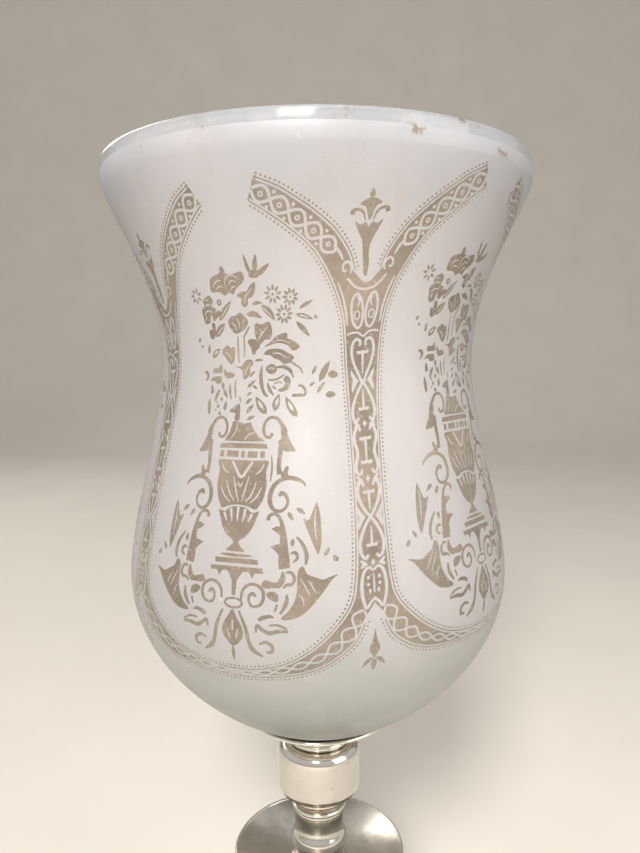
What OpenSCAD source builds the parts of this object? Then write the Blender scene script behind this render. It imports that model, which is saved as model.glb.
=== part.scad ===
// Glass candle holder: a flared, etched glass shade that lifts off a small metal tray,
// on a turned stem with a drip pan and a round weighted foot. Millimetres, +Z up,
// origin on the table under the middle of the foot.

/* [Glass shade] */
// Outer radius of the lip
shade_rim_r = 62.6; // [58:0.1:66]
// Outer radius at the waist
shade_waist_r = 46.7; // [44:0.1:50]
// Outer radius at the belly
shade_belly_r = 57.8; // [54:0.1:62]
// Outer radius of the flat ring that the shade stands on
shade_seat_r = 17; // [16.5:0.1:18]
// Height of the whole shade
shade_h = 170.5; // [160:0.5:180]
// Height of the upright band at the lip
shade_lip_h = 6.6; // [4:0.1:9]
// Depth of the waist below the lip
shade_waist_drop = 56.9; // [50:0.1:62]
// Depth of the belly below the lip
shade_belly_drop = 119.5; // [112:0.1:126]
// Thickness of the glass
shade_wall = 2.4; // [2:0.1:3]
// Play between the hole in the shade's bottom and the candle cup
shade_play = 1; // [0.6:0.1:1.4]

/* [Candle cup] */
// Diameter of the candle that the cup takes
candle_d = 22; // [20:0.5:23]
// Play between the candle and the bore
candle_play = 0.6; // [0.3:0.1:1]
// Depth of the bore
cup_bore_depth = 25; // [20:0.5:30]
// Thickness of the solid bottom that the tie rod screws into
cup_floor = 6; // [5:0.5:8]
// Wall of the cup
cup_wall = 1.4; // [1.2:0.1:1.6]
// How far the cup's lip and foot bead stand out from its wall
cup_bead = 1.1; // [0.6:0.1:1.4]

/* [Shade tray] */
// Outer radius of the tray's rolled edge
tray_r = 23.7; // [23:0.1:25]
// Height of the rolled edge above the tray's floor
tray_depth = 3.5; // [3:0.1:4]
// Thickness of the tray's metal
tray_wall = 1; // [0.8:0.1:1.4]
// Height of the boss under the tray
tray_boss_h = 2; // [1:0.5:3]
// Thickness of the washer under the shade
gasket_t = 1; // [0.8:0.1:1.4]

/* [Stem] */
// Radius of the two beads under the tray
neck_r = 10.5; // [9.5:0.1:11.5]
// Height of the neck ring
neck_h = 5; // [4:0.5:6]
// Radius of the barrel knop
knop_r = 13.55; // [12.5:0.05:15]
// Height of the barrel knop
knop_h = 17.5; // [16:0.5:20]
// Height of the knop's upper shoulder
knop_shoulder_h = 4.5; // [3:0.5:6]
// Height of the round under the knop
knop_under_h = 3.6; // [3:0.1:5]
// Height of the collar under the knop
collar_h = 7; // [6:0.5:8]
// Radius of the collar's upper bead
collar_r = 9.6; // [9:0.1:10.2]
// Radius at the narrow part of the stem
stem_neck_r = 7.95; // [7.5:0.05:8.4]
// Radius at the swelling of the stem
stem_swell_r = 9.25; // [9:0.05:10]
// Height of the baluster between knop and drip pan
baluster_h = 15.5; // [14:0.5:18]
// Height of each ring above and below the drip pan
ring_h = 4; // [3:0.5:5]
// Height of the baluster between drip pan and foot
lower_baluster_h = 28; // [24:0.5:36]

/* [Drip pan] */
// Outer radius of the drip pan's rolled edge
pan_r = 28.15; // [26:0.05:30]
// How far the pan's edge stands above its middle
pan_rise = 5.9; // [4:0.1:7]
// Thickness of the pan's metal
pan_wall = 1; // [0.8:0.1:1.4]

/* [Foot] */
// Outer radius of the foot
foot_r = 48; // [44:0.5:52]
// Height of the foot shell
foot_h = 22.5; // [20:0.5:26]
// Thickness of the foot shell
foot_wall = 1.2; // [1:0.1:1.6]
// Height of the upright band at the foot's edge
foot_band_h = 3; // [2:0.5:4]
// Play between the shell and the weight inside
weight_play = 0.3; // [0.2:0.1:0.6]
// Thickness of the felt under the foot
felt_t = 1.5; // [1:0.5:2.5]

/* [Tie rod] */
// Radius of the rod that holds the stem together
rod_r = 3; // [2.5:0.5:3]
// Play between the rod and the pieces that it runs through
rod_play = 0.25; // [0.1:0.05:0.4]
// Width of the nut across its flats
nut_af = 10; // [9:0.5:10]
// Height of the nut
nut_h = 5; // [4:0.5:5]
// Thickness of the flat washer
washer_t = 1.2; // [1:0.1:1.4]
// Thickness of the split washer
split_t = 1.5; // [1.2:0.1:1.8]

/* [Hidden] */
$fn = 96;
steps = 12;
hole_r = rod_r + rod_play;

// Heights of the stack, from the table up
foot_z = felt_t;
foot_ring_z = foot_z + foot_h;
lower_baluster_z = foot_ring_z + ring_h;
lower_pan_ring_z = lower_baluster_z + lower_baluster_h;
pan_z = lower_pan_ring_z + ring_h;
upper_pan_ring_z = pan_z + pan_wall;
baluster_z = upper_pan_ring_z + ring_h;
collar_z = baluster_z + baluster_h;
knop_z = collar_z + collar_h;
neck_z = knop_z + knop_h;
tray_z = neck_z + neck_h;
tray_floor_z = tray_z + tray_boss_h + tray_wall;
shade_z = tray_floor_z + gasket_t;

// Candle cup, in step with the candle and the hole in the shade
bore_r = (candle_d + candle_play) / 2;
cup_r = bore_r + cup_wall;
cup_lip_r = cup_r + cup_bead;
cup_h = cup_floor + cup_bore_depth;
shade_hole_r = cup_lip_r + shade_play;

// The rod runs from under its nut to inside the bottom of the cup
rod_engage = 4;
rod_tail = 1;
weight_web = 11;
weight_top_z = foot_z + foot_h - foot_wall;
washer_z = weight_top_z - weight_web - washer_t;
split_z = washer_z - split_t;
nut_z = split_z - nut_h;
rod_z = nut_z - rod_tail;
rod_top_z = tray_floor_z + rod_engage;
pocket_r = 8;
washer_r = 6.5;

// Edges: radius of the rolled edges and of small beads
roll_r = 0.65;

// Point, direction and inward shift of a cubic curve through four control points
function curve_at(p, t) =
    (1 - t) ^ 3 * p[0] + 3 * t * (1 - t) ^ 2 * p[1] + 3 * t ^ 2 * (1 - t) * p[2] + t ^ 3 * p[3];
function curve_dir(p, t) =
    (1 - t) ^ 2 * (p[1] - p[0]) + 2 * t * (1 - t) * (p[2] - p[1]) + t ^ 2 * (p[3] - p[2]);
function inward(d) = [d[1], -d[0]] / norm(d);
function curve(p, shift = 0) =
    [for (i = [0:steps]) let (t = i / steps) curve_at(p, t) + shift * inward(curve_dir(p, t))];
function reversed(list) = [for (i = [len(list) - 1:-1:0]) list[i]];

// Points of an arc about a middle, from one angle to another
function arc(middle, r, from, to) =
    [for (i = [0:steps]) let (a = from + (to - from) * i / steps) middle + r * [cos(a), sin(a)]];

// A bead of the given height that stands out to radius r, its lowest point at z
function bead(r, z, h) = arc([r - h / 2, z + h / 2], h / 2, -90, 90);

module turned(outline, z = 0) {
    translate([0, 0, z])
        rotate_extrude()
            polygon(outline);
}

// Outer curves of the shade, from the lip down: flare, body and bowl
flare = [
    [shade_rim_r, shade_h - shade_lip_h],
    [shade_rim_r - 3.4, shade_h - shade_lip_h - 10.7],
    [shade_waist_r, shade_h - shade_waist_drop + 23.7],
    [shade_waist_r, shade_h - shade_waist_drop]];
body = [
    [shade_waist_r, shade_h - shade_waist_drop],
    [shade_waist_r, shade_h - shade_waist_drop - 14.5],
    [shade_belly_r, shade_h - shade_belly_drop + 15.8],
    [shade_belly_r, shade_h - shade_belly_drop]];
bowl = [
    [shade_belly_r, shade_h - shade_belly_drop],
    [shade_belly_r, shade_h - shade_belly_drop - 19.2],
    [shade_seat_r + 27.1, 12.6],
    [shade_seat_r, 0]];

function shade_side(shift) = concat(curve(flare, shift), curve(body, shift), curve(bowl, shift));

module glass_shade() {
    lip_mid = [shade_rim_r - shade_wall / 2, shade_h - shade_wall / 2];
    color([0.80, 0.82, 0.86, 0.75])
        turned(concat(
            arc(lip_mid, shade_wall / 2, 180, 0),
            shade_side(0),
            [[shade_hole_r, 0], [shade_hole_r, shade_wall]],
            reversed(shade_side(shade_wall))), shade_z);
}

module shade_gasket() {
    color([0.30, 0.30, 0.31])
        translate([0, 0, tray_floor_z])
            difference() {
                cylinder(r = shade_seat_r + 0.6, h = gasket_t);
                translate([0, 0, -1])
                    cylinder(r = shade_hole_r, h = gasket_t + 2);
            }
}

module candle_cup() {
    bead_h = 2 * cup_bead;
    color("silver")
        turned(concat(
            [[rod_r, 0]],
            bead(cup_lip_r, 0, bead_h),
            [[cup_r - 1.6, bead_h + 1.4], [cup_r, cup_floor + 3]],
            [[cup_r, cup_h - bead_h]],
            bead(cup_lip_r, cup_h - bead_h, bead_h),
            [[bore_r, cup_h], [bore_r, cup_floor], [0, cup_floor],
                [0, rod_engage], [rod_r, rod_engage]]), tray_floor_z);
}

module shade_tray() {
    floor_z = tray_boss_h + tray_wall;
    floor_r = shade_seat_r + 1;
    edge = [tray_r - roll_r, floor_z + tray_depth - roll_r];
    color("silver")
        turned(concat(
            [[hole_r, 0], [neck_r - 1, 0], [neck_r, tray_boss_h * 0.5]],
            [[floor_r - 1, tray_boss_h]],
            arc(edge, roll_r, -50, 150),
            [[floor_r, floor_z], [hole_r, floor_z]]), tray_z);
}

module neck_ring() {
    color("silver")
        turned(concat(
            [[hole_r, 0]],
            bead(neck_r, 0, neck_h / 2),
            bead(neck_r - 0.4, neck_h / 2, neck_h / 2),
            [[hole_r, neck_h]]), neck_z);
}

// Quarter of a full, squarish oval that leads from one radius to another
function round_over(r_in, r_out, z_in, z_out, power = 2.6) =
    [for (i = [0:steps]) let (t = 90 * i / steps)
        [r_in + (r_out - r_in) * sin(t) ^ (2 / power), z_out + (z_in - z_out) * cos(t) ^ (2 / power)]];

module barrel_knop() {
    color("silver")
        turned(concat(
            [[hole_r, knop_h]],
            round_over(neck_r - 0.3, knop_r, knop_h, knop_h - knop_shoulder_h),
            reversed(round_over(neck_r - 0.1, knop_r, 0, knop_under_h, 2)),
            [[hole_r, 0]]), knop_z);
}

module knop_collar() {
    small_bead_h = 1.6;
    big_bead_h = 3;
    groove_h = (collar_h - small_bead_h - big_bead_h) / 2;
    color("silver")
        turned(concat(
            [[hole_r, 0], [stem_neck_r + 0.35, 0], [stem_neck_r + 0.3, groove_h]],
            bead(collar_r - 0.7, groove_h, small_bead_h),
            [[collar_r - 1.3, groove_h + small_bead_h], [collar_r - 1.3, 2 * groove_h + small_bead_h]],
            bead(collar_r, 2 * groove_h + small_bead_h, big_bead_h),
            [[hole_r, collar_h]]), collar_z);
}

// Vase shape of a stem piece: narrow at neck_z, full at swell_z
function vase(h, neck_z, swell_z, end_r) = concat(
    curve([[stem_neck_r + 0.35, h], [stem_neck_r, h - (h - neck_z) / 2],
        [stem_neck_r, neck_z + (h - neck_z) / 2], [stem_neck_r, neck_z]]),
    curve([[stem_neck_r, neck_z], [stem_neck_r, neck_z - (neck_z - swell_z) / 2],
        [stem_swell_r, swell_z + (neck_z - swell_z) / 2], [stem_swell_r, swell_z]]),
    curve([[stem_swell_r, swell_z], [stem_swell_r, swell_z * 0.6],
        [end_r, swell_z * 0.5], [end_r, 0]]));

module upper_baluster() {
    color("silver")
        turned(concat(
            [[hole_r, baluster_h]],
            vase(baluster_h, baluster_h * 0.75, baluster_h * 0.34, stem_neck_r),
            [[hole_r, 0]]), baluster_z);
}

module stem_ring(z) {
    color("silver")
        turned(concat(
            [[hole_r, 0], [stem_neck_r, 0], [stem_neck_r, ring_h * 0.15]],
            bead(stem_swell_r, ring_h * 0.15, ring_h * 0.7),
            [[stem_neck_r, ring_h * 0.85], [stem_neck_r, ring_h], [hole_r, ring_h]]), z);
}

module upper_pan_ring() {
    stem_ring(upper_pan_ring_z);
}

module drip_pan() {
    edge = [pan_r - roll_r, pan_rise + pan_wall - roll_r];
    color("silver")
        turned(concat(
            [[hole_r, 0], [stem_swell_r, 0]],
            arc(edge, roll_r, -70, 160),
            [[stem_swell_r, pan_wall], [hole_r, pan_wall]]), pan_z);
}

module lower_pan_ring() {
    stem_ring(lower_pan_ring_z);
}

module lower_baluster() {
    h = lower_baluster_h;
    color("silver")
        turned(concat(
            [[hole_r, h]],
            vase(h, h * 0.55, h * 0.2, stem_neck_r),
            [[hole_r, 0]]), lower_baluster_z);
}

module foot_ring() {
    stem_ring(foot_ring_z);
}

// Outer curve of the foot, from its neck down to the step inside the edge
foot_neck_r = stem_swell_r + 1;
foot_step_z = foot_band_h + 1.5;
foot_step_r = foot_r - 5;
foot_dome = [
    [foot_neck_r, foot_h],
    [foot_neck_r + 3, foot_step_z + 3],
    [foot_step_r - 14, foot_step_z + 6],
    [foot_step_r, foot_step_z]];

module foot_shell() {
    edge = [foot_r - 1, foot_band_h - 1];
    inner_r = foot_r - foot_wall;
    color("silver")
        turned(concat(
            [[hole_r, foot_h]],
            curve(foot_dome),
            [[foot_step_r + 1.2, foot_step_z - 0.9]],
            reversed(arc(edge, 1, 0, 90)),
            [[foot_r, 0], [inner_r, 0], [inner_r, foot_band_h - foot_wall]],
            [[foot_step_r, foot_step_z - foot_wall - 0.6]],
            reversed(curve(foot_dome, foot_wall)),
            [[hole_r, foot_h - foot_wall]]), foot_z);
}

module foot_weight() {
    outer_r = foot_r - foot_wall - weight_play;
    rim_h = foot_band_h - foot_wall - weight_play;
    pocket_h = washer_z + washer_t - foot_z;
    color([0.33, 0.33, 0.34])
        turned(concat(
            [[hole_r, pocket_h], [hole_r, foot_h - foot_wall]],
            [for (p = curve(foot_dome, foot_wall + weight_play)) if (p[1] < foot_h - foot_wall - 1) p],
            [[foot_step_r, rim_h], [outer_r, rim_h], [outer_r, 0], [pocket_r, 0], [pocket_r, pocket_h]]),
            foot_z);
}

module felt_pad() {
    color([0.12, 0.20, 0.15])
        cylinder(r = foot_r - foot_wall - weight_play - 1, h = felt_t);
}

module tie_rod() {
    color([0.62, 0.60, 0.56])
        translate([0, 0, rod_z])
            cylinder(r = rod_r, h = rod_top_z - rod_z);
}

module ring_blank(z, h) {
    translate([0, 0, z])
        difference() {
            cylinder(r = washer_r, h = h);
            translate([0, 0, -1])
                cylinder(r = hole_r, h = h + 2);
        }
}

module flat_washer() {
    color([0.70, 0.70, 0.70])
        ring_blank(washer_z, washer_t);
}

module split_washer() {
    gap = 1;
    color([0.55, 0.55, 0.56])
        difference() {
            ring_blank(split_z, split_t);
            translate([0, -gap / 2, split_z - 1])
                cube([washer_r + 1, gap, split_t + 2]);
        }
}

module tie_nut() {
    color([0.72, 0.66, 0.45])
        translate([0, 0, nut_z])
            difference() {
                cylinder(r = nut_af / sqrt(3), h = nut_h, $fn = 6);
                translate([0, 0, -1])
                    cylinder(r = rod_r, h = nut_h + 2);
            }
}

glass_shade();
shade_gasket();
candle_cup();
shade_tray();
neck_ring();
barrel_knop();
knop_collar();
upper_baluster();
upper_pan_ring();
drip_pan();
lower_pan_ring();
lower_baluster();
foot_ring();
foot_shell();
foot_weight();
felt_pad();
tie_rod();
flat_washer();
split_washer();
tie_nut();
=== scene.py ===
"""Candle holder with an etched glass shade: the looks of every piece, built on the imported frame.

Lengths inside the shape functions are millimetres, and become metres when a mesh is made.
Azimuth 0 faces the camera (-Y) and grows towards +X.
"""

import bmesh
import bpy
import numpy as np
from bpy.props import FloatProperty, FloatVectorProperty, IntProperty, PointerProperty
from mathutils import Matrix, Vector
from mathutils.geometry import delaunay_2d_cdt


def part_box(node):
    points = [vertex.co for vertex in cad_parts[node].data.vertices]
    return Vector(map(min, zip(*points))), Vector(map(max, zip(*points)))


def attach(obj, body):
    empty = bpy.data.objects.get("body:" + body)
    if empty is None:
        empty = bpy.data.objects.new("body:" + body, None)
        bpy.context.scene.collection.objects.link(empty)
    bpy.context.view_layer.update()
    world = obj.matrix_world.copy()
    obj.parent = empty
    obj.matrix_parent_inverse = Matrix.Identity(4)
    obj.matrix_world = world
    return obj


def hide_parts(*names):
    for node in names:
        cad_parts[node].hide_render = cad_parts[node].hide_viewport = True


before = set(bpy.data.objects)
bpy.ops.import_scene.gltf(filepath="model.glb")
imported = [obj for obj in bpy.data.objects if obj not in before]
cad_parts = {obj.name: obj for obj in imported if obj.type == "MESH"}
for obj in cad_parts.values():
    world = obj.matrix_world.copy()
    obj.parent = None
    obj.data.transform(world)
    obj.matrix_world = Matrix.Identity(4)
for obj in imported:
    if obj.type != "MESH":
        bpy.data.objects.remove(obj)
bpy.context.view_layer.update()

bl_info = {
    "name": "Glass candle holder",
    "version": (1, 0, 0),
    "blender": (4, 5, 0),
    "location": "View3D > Sidebar > Candle holder",
    "description": "Etched glass shade on a plated stem, with the stage it is shown on",
    "category": "Object",
}

MM = 0.001
PANELS = 5
PANEL_TURN = 360 / PANELS
# Heights from the lip of the shade down to its waist and to its belly, mm
WAIST_DROP = 56.9
BELLY_DROP = 119.5
# Foot of the shade: radius where the bowl starts, and radius of the hole in its floor, mm
BOWL_START_R = 17.0
BASE_HOLE_R = 14.8
# Height above the foot of the shade where the pattern's mesh starts, and where the pattern itself does
SHEET_FOOT = 22.0
PATTERN_FOOT = 36.0
PATTERN_TOP = 157.3
# Radii that the stem pieces share: clearance hole, slim end, swell and beads under the tray, mm
HOLE_R = 3.25
SLIM_R = 7.95
SWELL_R = 9.25
NECK_BEAD_R = 10.5
# Vertical line that the urn's scrolls are mirrored about, and the one the lily stands on, mm
URN_X = 0.3
LILY_X = -1.0
# Colour that all the lamps share
LAMP_COLOUR = (1.0, 0.965, 0.92)
# Width of one fifth of the pattern as it is drawn, and half of it
PATTERN_W = 65.35
HALF_W = PATTERN_W / 2


def foot_of(node):
    """Height of a node's lowest point, mm."""
    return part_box(node)[0].z / MM


def top_of(node):
    """Height of a node's highest point, mm."""
    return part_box(node)[1].z / MM


def reach_of(node):
    """Largest radius of a turned node, mm."""
    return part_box(node)[1].x / MM


# Sizes and colours that a user would change


def colour(name, description, value):
    """Colour setting."""
    return FloatVectorProperty(name=name, description=description, default=value, subtype="COLOR", min=0,
        max=1)


def length(name, description, value):
    """Length setting, given in millimetres and kept in metres."""
    return FloatProperty(name=name, description=description, default=value * MM, subtype="DISTANCE",
        unit="LENGTH")


class ShadeSettings(bpy.types.PropertyGroup):
    """Glass shade and its pattern."""

    waist_radius: length("Waist radius", "Outer radius of the narrow part", 46.7)
    belly_radius: length("Belly radius", "Outer radius of the full part", 57.8)
    wall: length("Wall", "Thickness of the glass", 2.4)
    lip_band: length("Lip band", "Height of the upright band at the lip", 6.6)
    columns: IntProperty(name="Columns of faces",
        description="Columns of faces on each fifth of the shade", default=36, min=12, max=60)
    pattern_turn: FloatProperty(name="Pattern turn", description="Azimuth of the first panel, in degrees",
        default=-22.0)
    frost: colour("Frosted ground", "Colour of the frosted glass", (0.52, 0.50, 0.50))
    # Greener and darker colour for the bowl; the darkening is painted shade where the bowl turns down away
    # from the lamps
    frost_foot_painted_shade: colour("Frosted foot", "Greener colour near the foot of the shade", (0.40, 0.44, 0.40))
    frost_lip: colour("Frosted lip", "Bluer colour near the lip", (0.46, 0.48, 0.52))
    # Painted shade: the clear glass of the pattern is given a dark brown colour for the dim inside seen
    # through it
    pattern: colour("Pattern", "Colour of the clear glass of the pattern", (0.19, 0.155, 0.12))


class MetalSettings(bpy.types.PropertyGroup):
    """Plated stem, tray, pan and foot."""

    segments: IntProperty(name="Segments", description="Faces round each turned piece", default=144,
        min=24, max=256)
    softness: length("Corner radius", "Radius that polishing left on the corners", 0.14)
    plate: colour("Plating", "Colour of the plated metal", (0.66, 0.63, 0.58))
    tarnish: colour("Tarnish", "Colour in the grooves", (0.23, 0.18, 0.12))
    brass: colour("Brass", "Colour of the nut", (0.72, 0.53, 0.25))
    steel: colour("Steel", "Colour of rod and washers", (0.52, 0.51, 0.49))


class SoftSettings(bpy.types.PropertyGroup):
    """Felt, washer and weight."""

    felt: colour("Felt", "Colour of the felt under the foot", (0.055, 0.10, 0.065))
    rubber: colour("Washer", "Colour of the washer under the shade", (0.05, 0.048, 0.045))
    iron: colour("Weight", "Colour of the cast weight", (0.085, 0.082, 0.08))


class StageSettings(bpy.types.PropertyGroup):
    """Floor, light and camera."""

    floor: colour("Floor", "Colour of the floor and backdrop", (0.74, 0.70, 0.64))
    key: FloatProperty(name="Key lamp", description="Power of the main lamp, in watts", default=9.0, min=0)
    fill: FloatProperty(name="Fill lamp", description="Power of the soft lamp at the side, in watts",
        default=5.0, min=0)
    sky: FloatProperty(name="Sky", description="Strength of the light from all round", default=0.45, min=0)
    focal: FloatProperty(name="Focal length", description="Focal length of the camera, in millimetres",
        default=30.03, min=10)
    pitch: FloatProperty(name="Pitch", description="How far the camera looks down, in degrees", default=6.35)


# Outlines of turned pieces, as rows of radius and height


def cubic(points, n=24, depth=0.0):
    """Cubic curve through four control points, moved inwards by depth along its normal."""
    p = np.asarray(points, float)
    t = np.linspace(0, 1, n + 1)[:, None]
    line = (1 - t) ** 3 * p[0] + 3 * t * (1 - t) ** 2 * p[1] + 3 * t ** 2 * (1 - t) * p[2] + t ** 3 * p[3]
    slope = (1 - t) ** 2 * (p[1] - p[0]) + 2 * t * (1 - t) * (p[2] - p[1]) + t ** 2 * (p[3] - p[2])
    slope /= np.linalg.norm(slope, axis=1)[:, None]
    return line + depth * np.stack([slope[:, 1], -slope[:, 0]], 1)


def arc(middle, r, start, end, n=14):
    """Points of an arc about a middle, angles in degrees."""
    a = np.radians(np.linspace(start, end, n + 1))
    return np.asarray(middle, float) + r * np.stack([np.cos(a), np.sin(a)], 1)


def bead(r, z, h):
    """Half-round bead of height h that stands out to radius r, lowest point at z."""
    return arc((r - h / 2, z + h / 2), h / 2, -90, 90)


def round_over(r_in, r_out, z_in, z_out, power=2.6, n=18):
    """Quarter of a squarish oval: radius goes with sin^(2/power), height with cos^(2/power)."""
    t = np.linspace(0, np.pi / 2, n + 1)
    return np.stack([r_in + (r_out - r_in) * np.sin(t) ** (2 / power),
        z_out + (z_in - z_out) * np.cos(t) ** (2 / power)], 1)


def soften(outline, radius, closed):
    """Every corner sharper than 25 degrees becomes a short bend: the point gives way to three,
    one back along each side by the radius and one a quarter of the way in from the corner."""
    p = np.asarray(outline, float)
    p = p[np.r_[True, np.linalg.norm(np.diff(p, axis=0), axis=1) > 1e-6]]
    if closed and np.linalg.norm(p[0] - p[-1]) < 1e-6:
        p = p[:-1]
    back = np.roll(p, 1, 0) - p
    ahead = np.roll(p, -1, 0) - p
    lb, la = np.linalg.norm(back, axis=1), np.linalg.norm(ahead, axis=1)
    cosine = (back * ahead).sum(1) / np.maximum(lb * la, 1e-12)
    sharp = cosine > -np.cos(np.radians(25))
    if not closed:
        sharp[[0, -1]] = False
    r = np.minimum(radius, 0.4 * np.minimum(lb, la))[:, None]
    before = p + back / np.maximum(lb, 1e-12)[:, None] * r
    after = p + ahead / np.maximum(la, 1e-12)[:, None] * r
    middle = p * 0.5 + (before + after) * 0.25
    rows = np.stack([before, np.where(sharp[:, None], middle, p), after], 1)
    keep = np.stack([sharp, np.ones(len(p), bool), sharp], 1)
    return rows[keep]


def bend_of(outline, closed):
    """How sharply the outline turns at each point, smoothed over about 0.6 mm:
    above 0 on crests, below 0 in grooves."""
    p = np.asarray(outline, float)
    back, ahead = p - np.roll(p, 1, 0), np.roll(p, -1, 0) - p
    turn = np.arctan2(back[:, 0] * ahead[:, 1] - back[:, 1] * ahead[:, 0], (back * ahead).sum(1))
    if not closed:
        turn[[0, -1]] = 0
    gap = np.linalg.norm(p[:, None] - p[None], axis=2)
    weight = np.exp(-(gap / 0.6) ** 2)
    return np.clip((weight @ turn) / 1.2, -1, 1)


# Meshes


def new_piece(name, mesh, body, nodes, materials):
    """Links a mesh as a piece parented to a body's empty, gives it the materials and hides the CAD nodes it
    is drawn in place of.
    """
    piece = bpy.data.objects.new(name, mesh)
    bpy.context.scene.collection.objects.link(piece)
    for material in materials:
        mesh.materials.append(material)
    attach(piece, body)
    if nodes:
        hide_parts(*nodes)
    return piece


def point_value(mesh, name, values):
    """Stores one number per vertex for the materials to read."""
    store = mesh.attributes.new(name, "FLOAT", "POINT")
    store.data.foreach_set("value", np.asarray(values, np.float32).ravel())


def finish_mesh(mesh, angle=35):
    """Smooth faces, with a sharp edge wherever two faces meet at more than the angle."""
    mesh.polygons.foreach_set("use_smooth", np.ones(len(mesh.polygons), bool))
    mesh.set_sharp_from_angle(angle=np.radians(angle))
    mesh.validate()
    mesh.update()


def turned_mesh(name, outline, z=0.0, segments=144, softness=0.14, wobble=None):
    """A profile carried round the axis: x = r sin a, y = -r cos a, for every radius r of the
    outline and every azimuth a, as one grid. An outline that starts and ends on the axis is closed
    by a fan at each pole, and any other is closed on itself."""
    outline = np.asarray(outline, float)
    poles = outline[0, 0] < 1e-9 and outline[-1, 0] < 1e-9
    area = np.roll(outline, -1, 0)
    area = (outline[:, 0] * area[:, 1] - area[:, 0] * outline[:, 1]).sum()
    if area < 0:
        outline = outline[::-1]
    if softness > 0:
        outline = soften(outline, softness, not poles)
    bend = bend_of(outline, not poles)
    rows = outline[1:-1] if poles else outline
    a = np.arange(segments) * 2 * np.pi / segments
    r = rows[:, 0][:, None] * np.ones(segments)
    h = rows[:, 1][:, None] * np.ones(segments)
    if wobble is not None:
        r, h = wobble(r, h, a[None, :])
    grid = np.stack([r * np.sin(a), -r * np.cos(a), h + z], 2).reshape(-1, 3)
    m = len(rows)
    i = np.arange(m if not poles else m - 1)[:, None]
    j = np.arange(segments)[None, :]
    up, on = (i + 1) % m, (j + 1) % segments
    quads = np.stack([i * segments + j, i * segments + on, up * segments + on, up * segments + j],
        2).reshape(-1, 4)
    faces = quads.tolist()
    value = np.repeat(bend[1:-1] if poles else bend, segments)
    if poles:
        ends = np.array([[0, 0, outline[0, 1] + z], [0, 0, outline[-1, 1] + z]])
        grid = np.vstack([grid, ends])
        first, last = len(grid) - 2, len(grid) - 1
        j, on = j.ravel(), on.ravel()
        faces += np.stack([np.full(segments, first), on, j], 1).tolist()
        faces += np.stack([np.full(segments, last), (m - 1) * segments + j, (m - 1) * segments + on],
            1).tolist()
        value = np.r_[value, 0, 0]
    mesh = bpy.data.meshes.new(name)
    mesh.from_pydata((grid * MM).tolist(), [], faces)
    point_value(mesh, "bend", value)
    finish_mesh(mesh)
    return mesh


# Materials


class Finish:
    """A material under construction: one shader, fed by nodes that read Object coordinates."""

    def __init__(self, name, **constants):
        self.material = bpy.data.materials.new(name)
        self.material.use_nodes = True
        self.tree = self.material.node_tree
        self.shader = self.tree.nodes["Principled BSDF"]
        for socket, value in constants.items():
            self.shader.inputs[socket.replace("_", " ")].default_value = value
        self.place = self.node("ShaderNodeTexCoord").outputs["Object"]

    def node(self, kind, settings=None, **inputs):
        made = self.tree.nodes.new(kind)
        for key, value in (settings or {}).items():
            setattr(made, key, value)
        for key, value in inputs.items():
            self.feed(made.inputs[key.replace("_", " ")], value)
        return made

    def feed(self, socket, value):
        """A socket takes either another socket's output or a plain value."""
        if isinstance(value, bpy.types.NodeSocket):
            self.tree.links.new(value, socket)
        elif socket.type == "RGBA" and len(value) == 3:
            socket.default_value = (*value, 1)
        else:
            socket.default_value = value

    def grain(self, scale, detail=3.0, roughness=0.55, stretch=None, distortion=0.0):
        """Cloudy noise, scale in features per metre, perhaps stretched along the axes."""
        place = self.place
        if stretch:
            place = self.node("ShaderNodeMapping", Vector=place, Scale=stretch).outputs["Vector"]
        made = self.node("ShaderNodeTexNoise", Vector=place, Scale=scale, Detail=detail,
            Roughness=roughness, Distortion=distortion)
        return made.outputs["Fac"]

    def part(self, value, low, high, to_low=0.0, to_high=1.0):
        """The value, with low..high spread over to_low..to_high and clamped."""
        made = self.node("ShaderNodeMapRange", Value=value, From_Min=low, From_Max=high, To_Min=to_low,
            To_Max=to_high)
        return made.outputs["Result"]

    def sum_of(self, kind, a, b):
        """Two numbers joined by a Math node of the given kind."""
        made = self.tree.nodes.new("ShaderNodeMath")
        made.operation = kind
        self.feed(made.inputs[0], a)
        self.feed(made.inputs[1], b)
        return made.outputs[0]

    def blend(self, amount, a, b):
        """Colour a, turning into colour b with the amount."""
        made = self.tree.nodes.new("ShaderNodeMix")
        made.data_type = "RGBA"
        self.feed(made.inputs["Factor"], amount)
        self.feed(made.inputs["A"], a)
        self.feed(made.inputs["B"], b)
        return made.outputs["Result"]

    def height(self):
        """Height above the table, in metres."""
        return self.node("ShaderNodeSeparateXYZ", Vector=self.place).outputs["Z"]

    def stored(self, name):
        """A number that the mesh carries on its vertices."""
        return self.node("ShaderNodeAttribute", {"attribute_name": name}).outputs["Fac"]

    def relief(self, height, depth, strength=1.0):
        """Bump of the given depth in metres."""
        made = self.node("ShaderNodeBump", Height=height, Distance=depth, Strength=strength)
        self.tree.links.new(made.outputs["Normal"], self.shader.inputs["Normal"])

    def set(self, **inputs):
        for key, value in inputs.items():
            self.feed(self.shader.inputs[key.replace("_", " ")], value)


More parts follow.
